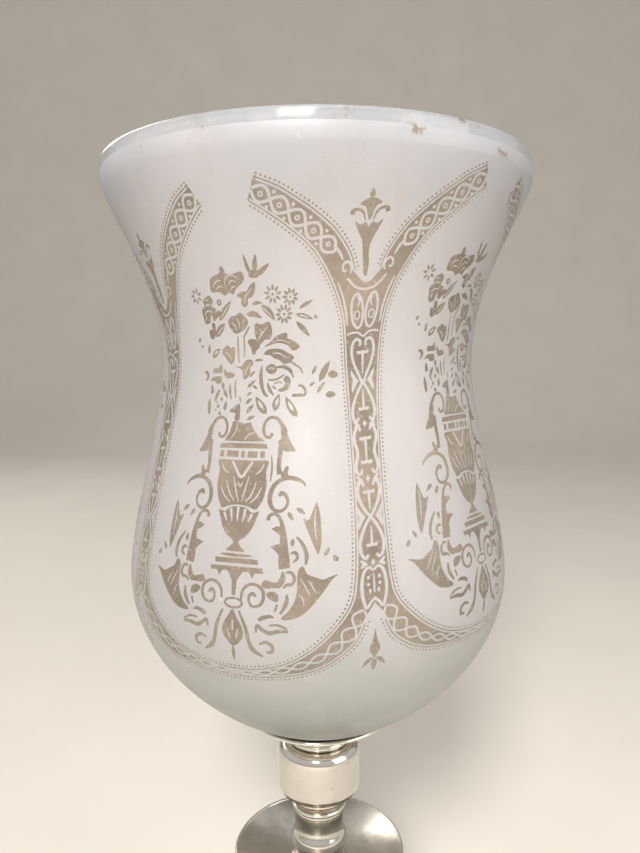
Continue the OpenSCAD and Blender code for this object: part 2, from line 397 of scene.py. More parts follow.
def frosted_glass(look):
    """Acid-frosted glass: satin, fine grained, greener at the foot and bluer at the lip, and darker towards
    the foot as painted shade on the bowl.
    """
    f = Finish("frosted_ground", IOR=1.47, Transmission_Weight=0.42, Specular_IOR_Level=0.5)
    z = f.height()
    # Painted shade: the ground turns darker and greener from the belly down to the foot
    tone = f.blend(f.part(z, 0.172, 0.128), look.frost, look.frost_foot_painted_shade)
    tone = f.blend(f.part(z, 0.262, 0.284), tone, look.frost_lip)
    cloud = f.grain(38, 4, 0.6)
    tone = f.blend(f.part(cloud, 0.35, 0.7, 0.0, 0.35), tone, (0.62, 0.58, 0.58))
    smear = f.grain(60, 3, 0.6, (1, 1, 0.18), 0.6)
    tone = f.blend(f.part(smear, 0.58, 0.8, 0.0, 0.4), tone, (0.42, 0.36, 0.29))
    speck = f.grain(950, 2, 0.5)
    tone = f.blend(f.part(speck, 0.70, 0.76, 0.0, 0.5), tone, (0.80, 0.78, 0.75))
    stain = f.sum_of("MULTIPLY", f.part(f.grain(110, 4, 0.65), 0.60, 0.66), f.part(z, 0.2775, 0.2795))
    tone = f.blend(stain, tone, (0.26, 0.17, 0.08))
    f.set(Base_Color=tone, Roughness=f.part(f.grain(140, 3), 0.3, 0.7, 0.36, 0.46))
    fine = f.sum_of("ADD", f.grain(2600, 2, 0.5), f.sum_of("MULTIPLY", f.grain(210, 3), 0.7))
    f.relief(fine, 0.00004, 0.55)
    return f.material


def clear_pattern(look):
    """Unfrosted glass of the pattern: smoother than the ground, with dust in it, and dark brown as painted
    shade for the dim inside of the shade seen through the clear glass.
    """
    f = Finish("clear_pattern", IOR=1.47, Transmission_Weight=0.30, Specular_IOR_Level=0.5)
    z = f.height()
    # Painted shade: the pattern's dark colour stands for the dim inside seen through the clear glass
    tone = f.blend(f.part(f.grain(70, 3), 0.35, 0.7), look.pattern, [c * 1.6 for c in look.pattern])
    tone = f.blend(f.part(z, 0.170, 0.135, 0.0, 0.5), tone, (0.30, 0.29, 0.24))
    dust = f.grain(1200, 3, 0.6)
    tone = f.blend(f.part(dust, 0.58, 0.7, 0.0, 0.5), tone, look.frost)
    f.set(Base_Color=tone, Roughness=f.part(f.grain(320, 3), 0.3, 0.7, 0.16, 0.34))
    f.relief(f.grain(900, 3), 0.00003, 0.4)
    return f.material


def polished_lip(look):
    """Fire-polished glass of the lip, clear and slightly blue, with small chips."""
    f = Finish("polished_lip", IOR=1.47, Transmission_Weight=0.7, Specular_IOR_Level=0.5)
    chips = f.part(f.grain(420, 3, 0.6), 0.66, 0.7)
    tone = f.blend(f.part(f.grain(90, 3), 0.35, 0.7), (0.60, 0.62, 0.66), (0.74, 0.75, 0.77))
    tone = f.blend(f.part(f.grain(110, 4, 0.65), 0.60, 0.66), tone, (0.28, 0.19, 0.10))
    f.set(Base_Color=f.blend(chips, tone, (0.86, 0.86, 0.86)), Roughness=f.part(chips, 0, 1, 0.09, 0.4))
    f.relief(f.grain(260, 3), 0.00006, 0.5)
    return f.material


def plated(name, look, brushed=0.0):
    """Bright plating over turned brass: fine turning lines, smears, tarnish in the grooves
    and pale, rubbed crests."""
    f = Finish(name, Metallic=1.0, Specular_IOR_Level=0.5)
    bend = f.stored("bend")
    smear = f.grain(130, 4, 0.6, (1, 1, 0.5), 0.8)
    tone = f.blend(f.part(smear, 0.42, 0.72, 0.0, 0.6), look.plate, [c * 0.80 for c in look.plate])
    freckle = f.part(f.grain(900, 4, 0.65), 0.62, 0.72)
    tone = f.blend(f.sum_of("MULTIPLY", freckle, 0.55), tone, look.tarnish)
    groove = f.sum_of("MULTIPLY", f.part(bend, -0.05, -0.6), f.part(f.grain(420, 3), 0.3, 0.6, 0.35, 1.0))
    tone = f.blend(groove, tone, look.tarnish)
    crest = f.sum_of("MULTIPLY", f.part(bend, 0.25, 0.9), f.part(f.grain(700, 3), 0.35, 0.6))
    tone = f.blend(f.sum_of("MULTIPLY", crest, 0.7), tone, (0.85, 0.80, 0.70))
    lines = f.grain(2600, 2, 0.5, (0.02, 0.02, 1.0))
    rough = f.part(smear, 0.35, 0.75, 0.07 + brushed, 0.17 + brushed)
    rough = f.sum_of("ADD", rough, f.sum_of("MULTIPLY", groove, 0.28))
    f.set(Base_Color=tone, Roughness=f.sum_of("ADD", rough, f.sum_of("MULTIPLY", crest, 0.08)))
    f.relief(f.sum_of("ADD", f.sum_of("MULTIPLY", lines, 0.6), f.grain(380, 3)), 0.000018, 0.5)
    return f.material


def bare_metal(name, colour, dark, rough, scale=900):
    """Plain steel or brass with drawn lines, dull patches and bright worn crests."""
    f = Finish(name, Metallic=1.0)
    cloud = f.grain(scale * 0.4, 4, 0.6)
    tone = f.blend(f.part(cloud, 0.4, 0.75, 0.0, 0.8), colour, dark)
    crest = f.part(f.stored("bend"), 0.2, 0.8)
    tone = f.blend(f.sum_of("MULTIPLY", crest, 0.6), tone, [min(1.0, c * 1.35) for c in colour])
    f.set(Base_Color=tone, Roughness=f.part(cloud, 0.3, 0.8, rough, rough + 0.2))
    f.relief(f.grain(scale * 3, 2, 0.5, (1, 1, 0.1)), 0.00002, 0.4)
    return f.material


def felt_cloth(look):
    """Pressed wool: short crossing fibres, lint and a soft sheen."""
    f = Finish("felt", Sheen_Weight=0.5, Sheen_Roughness=0.6, Specular_IOR_Level=0.2, Roughness=0.95)
    one = f.grain(900, 3, 0.6, (1.0, 0.15, 1.0), 1.5)
    two = f.grain(900, 3, 0.6, (0.15, 1.0, 1.0), 1.5)
    fibres = f.sum_of("MAXIMUM", one, two)
    tone = f.blend(f.part(fibres, 0.45, 0.75), look.felt, [c * 2.1 for c in look.felt])
    tone = f.blend(f.part(f.grain(1500, 2), 0.74, 0.78), tone, (0.35, 0.34, 0.30))
    f.set(Base_Color=tone)
    f.relief(fibres, 0.00035, 0.9)
    return f.material


def ring_rubber(look):
    """Dull rubber with mould pores, paler where it is rubbed."""
    f = Finish("washer_rubber", Specular_IOR_Level=0.35)
    pores = f.grain(1800, 3, 0.6)
    tone = f.blend(f.part(f.grain(220, 4), 0.4, 0.7), look.rubber, [c * 2.0 for c in look.rubber])
    tone = f.blend(f.part(f.stored("bend"), 0.2, 0.9, 0.0, 0.5), tone, (0.16, 0.155, 0.15))
    f.set(Base_Color=tone, Roughness=f.part(pores, 0.3, 0.7, 0.55, 0.8))
    f.relief(pores, 0.00008, 0.6)
    return f.material


def cast_iron(look):
    """Sand-cast iron: coarse skin, black with rust in the hollows."""
    f = Finish("cast_weight", Metallic=0.35, Specular_IOR_Level=0.4)
    skin = f.grain(700, 5, 0.65)
    tone = f.blend(f.part(skin, 0.35, 0.7), look.iron, [c * 2.2 for c in look.iron])
    rust = f.sum_of("MULTIPLY", f.part(f.grain(90, 5, 0.65), 0.52, 0.66), f.part(skin, 0.65, 0.4))
    tone = f.blend(rust, tone, (0.24, 0.09, 0.035))
    f.set(Base_Color=tone, Roughness=f.part(skin, 0.3, 0.7, 0.6, 0.9))
    f.relief(skin, 0.0004, 0.8)
    return f.material


def stage_paint(name, colour):
    """Matt paper: the colour with a faint cloud and tooth."""
    f = Finish(name, Roughness=0.9, Specular_IOR_Level=0.15)
    tone = f.blend(f.part(f.grain(9, 4, 0.6), 0.3, 0.7), colour, [c * 0.95 for c in colour])
    f.set(Base_Color=tone)
    f.relief(f.grain(600, 3), 0.0001, 0.25)
    return f.material


# Pattern of the shade, in millimetres on the flat


def smooth(points, closed=False, per=5):
    """Points on a curve that runs smoothly through the given ones (Catmull-Rom): each span is a cubic
    whose end slopes are half the chord between the neighbours."""
    p = np.asarray(points, float)
    if closed:
        p = np.vstack([p[-1:], p, p[:2]])
    else:
        p = np.vstack([2 * p[0] - p[1], p, 2 * p[-1] - p[-2]])
    t = (np.arange(per) / per)[None, :, None]
    a, b, c, d = (p[i:len(p) - 3 + i, None, :] for i in range(4))
    spans = 0.5 * (2 * b + (c - a) * t + (2 * a - 5 * b + 4 * c - d) * t ** 2
                   + (3 * b - a - 3 * c + d) * t ** 3)
    line = spans.reshape(-1, 2)
    return line if closed else np.vstack([line, p[-2]])


def side_step(line, distance):
    """The line moved sideways, to its left, by a distance that may change along it."""
    slope = np.gradient(line, axis=0)
    slope /= np.maximum(np.linalg.norm(slope, axis=1), 1e-9)[:, None]
    return line + np.stack([-slope[:, 1], slope[:, 0]], 1) * np.broadcast_to(distance, len(line))[:, None]


def brush(points, widths, per=5):
    """Outline of a brush stroke along a smooth line, its width running through the given widths."""
    line = smooth(points, per=per)
    widths = np.atleast_1d(np.asarray(widths, float))
    half = np.interp(np.linspace(0, 1, len(line)), np.linspace(0, 1, len(widths)), widths) / 2
    return np.vstack([side_step(line, half), side_step(line, -half)[::-1]])


def leaf(base, tip, width, bend=0.0, per=7):
    """Outline of a leaf from base to tip: half its width is a skewed half sine, its midrib bends aside."""
    base, tip = np.asarray(base, float), np.asarray(tip, float)
    t = np.linspace(0, 1, per)
    along = tip - base
    side = np.array([-along[1], along[0]]) / max(np.hypot(*along), 1e-9)
    rib = base + t[:, None] * along + (bend * np.sin(np.pi * t))[:, None] * side
    half = (0.5 * width * np.sin(np.pi * t ** 0.8) ** 0.8)[:, None] * side
    return np.vstack([rib + half, (rib - half)[::-1][1:-1]])


def ring(points, width, per=4):
    """Outline of a closed band, drawn round outside and back inside."""
    line = smooth(points, closed=True, per=per)
    line = np.vstack([line, line[:1]])
    slope = np.roll(line[:-1], -1, 0) - np.roll(line[:-1], 1, 0)
    slope /= np.maximum(np.linalg.norm(slope, axis=1), 1e-9)[:, None]
    normal = np.stack([-slope[:, 1], slope[:, 0]], 1)
    normal = np.vstack([normal, normal[:1]])
    return np.vstack([line + normal * width / 2, (line - normal * width / 2)[::-1]])


def oval(middle, half_w, half_h, turn=0.0, n=8):
    """Outline of an ellipse with n corners."""
    a = np.arange(n) * 2 * np.pi / n
    p = np.stack([half_w * np.cos(a), half_h * np.sin(a)], 1)
    c, s = np.cos(np.radians(turn)), np.sin(np.radians(turn))
    return p @ np.array([[c, s], [-s, c]]) + np.asarray(middle, float)


def flipped(outline, about=0.0):
    """The outline mirrored left to right about a vertical line."""
    return (outline * [-1, 1] + [2 * about, 0])[::-1]


def spaced(line, pitch):
    """Points at an even pitch along a line."""
    run = np.concatenate([[0], np.cumsum(np.hypot(*np.diff(line, axis=0).T))])
    at = np.arange(pitch / 2, run[-1], pitch)
    return np.stack([np.interp(at, run, line[:, 0]), np.interp(at, run, line[:, 1])], 1)


def along(line, motif):
    """A motif drawn in run and offset (mm along the line, mm to its left) laid on the line."""
    run = np.concatenate([[0], np.cumsum(np.hypot(*np.diff(line, axis=0).T))])
    slope = np.gradient(line, axis=0)
    slope /= np.linalg.norm(slope, axis=1)[:, None]
    at = motif[:, 0]
    base = np.stack([np.interp(at, run, line[:, 0]), np.interp(at, run, line[:, 1])], 1)
    d = np.stack([np.interp(at, run, slope[:, 0]), np.interp(at, run, slope[:, 1])], 1)
    d /= np.linalg.norm(d, axis=1)[:, None]
    return base + np.stack([-d[:, 1], d[:, 0]], 1) * motif[:, 1:2]


# Edges of a column and its arms, right half, from the axis of the column (x) and the foot of the shade (z)
SIDE_EDGE = [(32.7, 39.9), (27, 40.3), (20.5, 42), (15.7, 44.7), (12.2, 47.6), (9.2, 50.8), (7.1, 53.6),
             (5.8, 56.3), (5.2, 59.5), (4.8, 64), (4.6, 70), (4.5, 78), (4.6, 87), (4.75, 93), (5.0, 99),
             (5.25, 104), (5.6, 110), (6.0, 117), (6.6, 122.7), (8, 127.7), (9.6, 131.6), (12, 136.2),
             (15, 140.5), (20, 145.2), (25, 149.2), (27.4, 150.9)]
FORK_EDGE = [(2.4, 134.6), (3.6, 138.0), (5.2, 140.8), (8, 144.6), (12, 148.4), (15.5, 151.2), (20, 154.5),
             (24.8, 156.9)]
LOWER_EDGE = [(1.2, 50.5), (3.2, 45.8), (6, 42.6), (10.3, 39.6), (16, 37.6), (24, 36.6), (32.7, 36.2)]


def column_shapes():
    """Outlines of one column in order of painting, each with True for pattern or False for frosted."""
    out = []

    def both(outline, clear=True):
        out.append((outline, clear))
        out.append((flipped(outline), clear))

    side = smooth(SIDE_EDGE, per=6)
    fork = smooth(FORK_EDGE, per=6)
    lower = smooth(LOWER_EDGE, per=6)
    # Dark ground of column and arms
    inset = 1.35
    right = side_step(side, inset)
    top = side_step(fork, -inset)[::-1]
    foot = side_step(lower, inset)
    half = np.vstack([[[0, 54.5]], foot, right, top, [[2.2, 132.6], [0.9, 131.3], [0, 131.0]]])
    out.append((np.vstack([half, flipped(half)[1:-1]]), True))
    # Fine line and row of beads along each edge
    for line, sign in ((side, 1), (fork, -1), (lower, 1)):
        inner = side_step(line, sign * 0.78)
        both(np.vstack([side_step(inner, 0.15), side_step(inner, -0.15)[::-1]]))
        for dot in spaced(line, 1.02):
            both(oval(dot, 0.27, 0.27, n=6))
    # Cut ends of the upper arms
    both(brush([(24.6, 156.3), (25.9, 153.6), (27.0, 151.6)], 0.35, per=2))
    # Straps of the shaft: hearts that cross, knots and bars, left pale on the dark ground
    d = -2.75
    for path in (
            [(0.35, 109.8), (1.0, 111.6), (2.2, 114), (3.05, 116.8), (3.0, 119), (2.2, 120.4),
                (1.1, 120.3), (0.7, 119.4), (1.0, 118.8)],
            [(-0.35, 110.4), (0.7, 108.9), (1.9, 106.8), (2.8, 104.6), (3.1, 102.6), (2.8, 101),
                (2.0, 100.5), (1.45, 101.3)],
            [(1.3, 98.0), (1.6, 98.9), (2.3, 98.8), (2.95, 97.3), (2.9, 95.4), (2.4, 93.9), (2.3, 92.3),
                (2.75, 90.5), (2.9, 88.9), (2.3, 87.8), (1.6, 87.9), (1.4, 88.7)],
            [(1.2, 84.7), (1.5, 85.6), (2.2, 85.7), (2.8, 84.4), (2.7, 82.6), (2.1, 80.8), (1.2, 79.1),
                (-0.3, 77.0)],
            [(-0.3, 77.8), (1.0, 76.1), (2.0, 74.2), (2.75, 72), (2.8, 70), (2.3, 68.4), (1.5, 67.9),
                (1.0, 68.7)],
            [(0.1, 64.9), (1.1, 65.7), (2.2, 64.8), (2.8, 62.5), (2.85, 60), (2.5, 57.9), (1.9, 56.2),
                    (0.9, 57.4), (-0.2, 58.5)]):
        both(brush([(x, z + d) for x, z in path], [0.62, 0.72, 0.78, 0.78, 0.72, 0.62]), False)
    for z, half_w in ((117.2, 1.75), (103.3, 1.6), (96.1, 1.7), (90.4, 1.6), (83.3, 1.6), (70.8, 1.5)):
        bow = [(0, z + 0.55), (0.5, z + 0.3), (half_w - 0.3, z + 0.5), (half_w, z + 0.1),
            (half_w - 0.3, z - 0.4), (0.6, z - 0.35), (0, z - 0.3)]
        bow = np.array(bow) + [0, d]
        out.append((np.vstack([bow, flipped(bow)[1:-1]]), False))
    for z0, z1 in ((117.2, 111.9), (103.3, 108.1), (96.1, 90.4), (83.3, 79.2), (70.8, 75.2)):
        out.append((brush([(0, z0 + d), (0, (z0 + z1) / 2 + d), (0, z1 + d)], [0.7, 0.6, 0.3], per=2), False))
    for z in (99.7, 86.5, 66.7):
        out.append((np.array([(0, z + 0.9 + d), (0.55, z + d), (0, z - 0.9 + d), (-0.55, z + d)]), False))
        both(np.array([(1.2, z - 0.3 + d), (2.6, z + 1.0 + d), (3.1, z + 0.7 + d), (2.5, z + d),
            (3.1, z - 0.9 + d), (2.5, z - 1.0 + d)]), False)
    for z in (110.3, 77.5):
        wing = [(1.2, z), (2.2, z + 1.3), (3.2, z + 2.9), (3.35, z + 1.7), (2.75, z + 0.2), (3.2, z - 1.5),
            (3.0, z - 2.9), (2.1, z - 1.2)]
        both(np.array(wing) + [0, d], False)
    for x, z, w, h in ((1.3, 63.3, 0.42, 0.5), (1.35, 61.7, 0.4, 0.42), (1.0, 60.1, 0.35, 0.65)):
        both(oval((x, z + d), w, h, n=6), False)
    out.append((brush([(0, 64.2 + d), (0, 61.5 + d), (0, 59.6 + d)], [0.25, 0.5, 0.4], per=2), False))
    # Scallops at the head of the shaft, tall ovals and cup lines of the throat
    out.append((brush([(-4.4, 119.2), (-2.9, 119.5), (-1.4, 119.3), (0, 118.4), (1.4, 119.3), (2.9, 119.5),
        (4.4, 119.2)], 0.5), False))
    both(ring(oval((1.95, 124.6), 1.55, 4.1, turn=-6, n=8), 0.62), False)
    both(ring(oval((1.95, 123.6), 0.75, 1.0, n=6), 0.35, per=3), False)
    both(brush([(1.9, 125.6), (1.5, 127), (2.1, 128)], [0.3, 0.5, 0.3]), False)
    out.append((brush([(-5.0, 132.6), (-2.8, 130.4), (0, 129.6), (2.8, 130.4), (5.0, 132.6)], 0.55), False))
    both(brush([(4.5, 121.5), (5.0, 125), (6.0, 128.6), (7.4, 132)], [0.4, 0.6, 0.5, 0.3]), False)
    both(brush([(4.3, 133.6), (4.1, 135.1), (5.1, 136.3), (6.2, 135.7), (6.1, 134.4), (5.3, 134.3)],
        [0.4, 0.6, 0.6, 0.5, 0.5]), False)
    both(brush([(6.3, 136.8), (7.2, 138.6), (8.6, 140.4)], [0.3, 0.7, 0.4]), False)
    # Interlaced straps of the upper arms
    middle = smooth([(8.4, 138.9), (11.4, 142.2), (15.2, 145.6), (20, 149.7), (25.9, 153.8)], per=8)
    length = np.hypot(*np.diff(middle, axis=0).T).sum()
    t = np.linspace(0, length, 46)
    for phase in (0, np.pi):
        wave = np.stack([t, 1.75 * np.sin(t * np.pi / 4.65 + phase)], 1)
        line = along(middle, wave)
        both(np.vstack([side_step(line, 0.33), side_step(line, -0.33)[::-1]]), False)
    for k in range(5):
        spot = along(middle, np.array([[4.65 * (k + 0.5), 0.0]]))[0]
        both(oval(spot, 0.62, 0.62, n=8), False)
        both(oval(spot, 0.28, 0.28, n=6), True)
    for k in range(1, 5):
        for s in (-1, 1):
            both(oval(along(middle, np.array([[4.65 * k, 1.75 * s]]))[0], 0.42, 0.42, n=6), False)
    # Interlaced straps of the lower arms
    middle = smooth([(2.6, 53.2), (4.6, 49.4), (7.6, 45.9), (11.5, 43.0), (16.5, 40.8), (22, 39.2),
        (28, 38.4), (32.7, 38.1)], per=8)
    length = np.hypot(*np.diff(middle, axis=0).T).sum()
    t = np.linspace(0, length, 70)
    for phase in (0, np.pi):
        wave = np.stack([t, np.interp(t, [0, 8, 14, length],
            [1.7, 1.7, 1.0, 0.45]) * np.sin(t * np.pi / 4.3 + phase)], 1)
        line = along(middle, wave)
        both(np.vstack([side_step(line, 0.26), side_step(line, -0.26)[::-1]]), False)
    # Lily that stands between the upper arms
    for outline in (
            smooth([(0, 151.4), (0.6, 150.3), (0.3, 149.6), (-0.3, 149.6), (-0.6, 150.3)], True, 3),
            smooth([(-2.4, 148.3), (-1.2, 149.2), (0, 149.5), (1.2, 149.2), (2.4, 148.3), (1.3, 147.8),
                (0.8, 146.9), (0.35, 145.3), (0, 144.9), (-0.35, 145.3), (-0.8, 146.9), (-1.3, 147.8)],
                True, 3),
            smooth([(-3.2, 144.9), (-1.9, 144.1), (-0.7, 144.5), (0, 143.4), (0.7, 144.5), (1.9, 144.1),
                    (3.2, 144.9), (2.2, 142.6), (1.15, 140.6), (0.75, 138), (1.1, 135.6), (0.9, 133.4),
                    (0.9, 132.6), (0, 133.0), (-0.4, 135.6), (-0.75, 138), (-1.15, 140.6), (-2.2, 142.6)],
                    True, 3)):
        out.append((outline + [LILY_X, 0], True))
    curl = brush([(0.9, 144.9), (1.5, 146.5), (2.6, 147.3), (3.7, 147.1), (3.95, 146.3)],
        [0.3, 0.5, 0.6, 0.9, 1.1])
    out.append((curl + [LILY_X, 0], True))
    out.append((flipped(curl) + [LILY_X, 0], True))
    # Pendant between the lower arms
    out.append((smooth([(0, 48.2), (0.45, 45.6), (1.25, 42.9), (0.6, 41.4), (0, 40.4), (-0.6, 41.4),
        (-1.25, 42.9), (-0.45, 45.6)], True, 4), True))
    out.append((leaf((0, 40.2), (0, 36.9), 1.3), True))
    both(leaf((0.2, 40.6), (2.7, 38.0), 1.1, 0.3))
    return out


def panel_shapes():
    """Outlines of one panel in order of painting: bunch of flowers over an urn between scrolls."""
    out = []

    def dark(outline):
        out.append((outline, True))

    def pale(outline):
        out.append((outline, False))

    def blob(points, per=3):
        out.append((smooth(points, True, per), True))

    def daisy(x, z, petals, inner, outer, width, start=0.0):
        for k in range(petals):
            a = start + 2 * np.pi * k / petals
            u = np.array([np.cos(a), np.sin(a)])
            dark(leaf((x, z) + inner * u, (x, z) + outer * u, width, per=5))
    # Sprig at the top
    dark(leaf((3.4, 135.6), (2.2, 140.7), 1.0, 0.2))
    dark(leaf((4.3, 135.8), (5.4, 140.4), 1.3))
    dark(leaf((4.2, 135.3), (8.7, 138.1), 1.3, -0.2))
    blob([(2.9, 136.3), (3.1, 135.1), (5.4, 135.1), (5.4, 136.4), (4.2, 136.9)])
    # Upper rose
    blob([(-9.3, 133.4), (-8.9, 135.1), (-7.9, 136), (-5.5, 136.5), (-5.1, 137.8), (-4.5, 138.1),
        (-3.9, 137.5), (-3.4, 136.3), (-1.5, 136.2), (0.9, 136.6), (1.5, 135), (0.3, 133.6), (-1.2, 132.7),
        (-2.3, 131.3), (-3.5, 131.9), (-5, 131.2), (-6.5, 132.2), (-8.9, 132.3)])
    for path in ([(-4.2, 132.6), (-4.3, 134.6), (-3.2, 135.8), (-1.5, 135.7), (-0.2, 134.8)],
        [(-3.4, 133.5), (-2.4, 134.6), (-1.0, 134.3)], [(-3.1, 132.4), (-2.2, 133.1), (-1.3, 133.3)],
                 [(-8.4, 133.4), (-7.2, 134.6), (-5.4, 134.9)], [(-7.6, 132.9), (-6.2, 133.5), (-5, 133.2)]):
        pale(brush(path, [0.15, 0.34, 0.15]))
    # Small flower and rose on the left
    daisy(-15, 132, 7, 0.6, 2.2, 0.75, 0.3)
    blob([(-13.6, 126.8), (-13.8, 128.4), (-12.6, 129.4), (-12.8, 130.5), (-11.8, 131.3), (-10.2, 131.6),
        (-9.3, 130.4), (-9.9, 129), (-8.5, 128.2), (-9.5, 127), (-10.9, 126.6), (-11.3, 125.1),
        (-13.2, 124.9)])
    for path in ([(-12.7, 128.8), (-11.4, 129.6), (-10.2, 129.2)], [(-13, 127), (-11.8, 128),
            (-10.4, 127.8)], [(-12.2, 130.6), (-11.1, 130.6)], [(-12.9, 125.8), (-12.2, 126.8)]):
        pale(brush(path, [0.15, 0.36, 0.15], per=3))
    dark(oval((-7.2, 129.7), 0.85, 0.85))
    pale(oval((-7.2, 129.7), 0.3, 0.3, n=6))
    blob([(-10.3, 126.6), (-9, 127.3), (-7.6, 127.9), (-7.3, 127), (-8.8, 125.8), (-9.9, 125.3)])
    dark(leaf((-8, 125.3), (-3.2, 130), 1.7, 0.1))
    pale(brush([(-7.2, 126), (-5.4, 127.8), (-4, 129.2)], [0.3, 0.3, 0.15], per=3))
    dark(leaf((-16.8, 120.6), (-15.8, 121.6), 0.9))
    dark(leaf((-12.9, 117.2), (-12.5, 119.8), 1.0))
    # Leaves and flowers in the middle
    blob([(-1.5, 131), (0.5, 132), (1.6, 131.9), (2.6, 133.2), (4.2, 134), (4, 132), (2.9, 130.5),
        (1.8, 130.2), (1.6, 128.9), (0.6, 128.2), (-0.4, 129), (-0.1, 130.3)])
    pale(brush([(0.6, 129.2), (1.3, 130.9), (3.0, 132.4)], [0.25, 0.3, 0.15], per=3))
    dark(leaf((2.7, 128.8), (5.9, 128.9), 0.9, 0.3))
    dark(leaf((0.8, 126.5), (5.4, 125.4), 1.5, 0.5))
    dark(leaf((5.3, 128.6), (8.9, 124.6), 1.8, 0.3))
    pale(brush([(5.8, 127.8), (7.1, 126.6), (8.1, 125.5)], [0.3, 0.25, 0.12], per=3))
    blob([(-5.1, 124.7), (-4.2, 126), (-2.6, 126.3), (-1, 127), (0.2, 126), (1.2, 124.8), (0.4, 123.2),
        (-1, 122.4), (-2.9, 121.8), (-4.4, 123)])
    for path in ([(-4, 124.6), (-3, 123.8), (-2.6, 122.6)], [(-2.2, 125.6), (-1.6, 124.3), (-1.7, 123)],
            [(-0.2, 125.3), (-0.5, 124.2)]):
        pale(brush(path, [0.2, 0.32, 0.15], per=3))
    blob([(3.2, 124.3), (4.8, 123.9), (7.1, 124.5), (7.9, 122.6), (7.4, 120.4), (5.7, 120.2), (4.8, 119.3),
        (3.6, 119.6), (2.9, 121.8)])
    pale(brush([(3.9, 120.4), (5.2, 121.9), (6.7, 123.4)], [0.3, 0.28, 0.12], per=3))
    pale(brush([(5.2, 121.9), (4.2, 122.9)], [0.25, 0.12], per=3))
    blob([(0.7, 120.2), (2.3, 120.5), (4.3, 119.9), (4.1, 118.4), (3.1, 117.6), (2.6, 116.6), (1.7, 116.9),
        (1.5, 118.4), (0.7, 119.2)])
    # Daisies and leaves on the right
    daisy(8.7, 130.9, 9, 0.8, 2.5, 0.75, 0.1)
    dark(oval((8.7, 130.9), 0.4, 0.4, n=6))
    daisy(13.3, 129.9, 9, 0.7, 2.2, 0.8, 0.3)
    dark(oval((13.3, 129.9), 0.35, 0.35, n=6))
    daisy(11.4, 126.0, 10, 0.8, 2.5, 0.75, 0.0)
    dark(oval((11.4, 126.0), 0.4, 0.4, n=6))
    dark(leaf((15.3, 126.9), (19.2, 128.6), 1.0, 0.1))
    dark(leaf((14.4, 125.8), (19.2, 124.0), 1.2, 0.1))
    pale(brush([(15.6, 125.4), (17.8, 124.6)], [0.35, 0.2], per=2))
    blob([(19.3, 124.4), (20.3, 124.1), (19.7, 125.2)])
    dark(leaf((14.5, 124.0), (18.2, 119.9), 1.3, 0.1))
    # Leaves and rose on the right
    blob([(5.4, 118.4), (7.8, 119.9), (9.0, 120.9), (11.9, 121.5), (12.1, 120.1), (13.8, 119.4),
        (15.4, 117.8), (13.5, 117.0), (12, 118.5), (9.4, 119.2), (7.3, 118.8)])
    pale(brush([(7.6, 119.4), (10, 119.9), (12.6, 118.9)], [0.1, 0.25, 0.15], per=3))
    blob([(5.1, 116.6), (6.5, 117.7), (9.7, 117.8), (11.8, 116.8), (13.9, 115.4), (12.6, 114.2),
        (10.9, 114.0), (9.6, 115), (8.3, 115.4), (7.1, 116.3)])
    pale(brush([(7.6, 116.8), (9.8, 116.6), (11.8, 115.3)], [0.15, 0.3, 0.15], per=3))
    dark(brush([(12.8, 114.4), (14.3, 113.4), (15.5, 112.5), (16.2, 111.1)], [0.5, 0.4, 0.4, 0.3], per=3))
    dark(brush([(4.6, 113.8), (4.3, 111.5), (4.6, 109), (5.4, 107), (6.5, 106.2)],
        [0.4, 1.1, 1.1, 0.8, 0.4], per=4))
    blob([(5.7, 113.2), (7.1, 114.2), (8.6, 113.8), (8.9, 112.4), (7.6, 111.6), (6.2, 112.2)])
    pale(brush([(6.4, 112.9), (7.5, 113.2), (8.3, 112.7)], [0.15, 0.3, 0.15], per=3))
    dark(brush([(8.9, 113.3), (11, 113.2), (12.7, 112.2), (13.6, 110.4)], [0.5, 0.9, 0.9, 0.3], per=4))
    dark(brush([(6.4, 110.3), (8.2, 110.2), (9.9, 110.7), (11, 111.4)], [0.3, 0.55, 0.5, 0.3], per=3))
    blob([(11.7, 111.1), (12.8, 110), (12.6, 108.5), (11.5, 107.4), (10, 107.2), (9.3, 107.7),
        (10.9, 108.5), (11.3, 109.5), (10.6, 110.2)])
    dark(brush([(8.2, 109.2), (9.5, 109.6), (10.4, 109.3)], [0.3, 0.5, 0.3], per=3))
    dark(brush([(6.3, 109.6), (6.9, 107.9), (8.1, 106.5)], [0.4, 1.0, 0.5], per=3))
    dark(brush([(7.8, 108.7), (8.7, 107.9)], [0.5, 0.4], per=2))
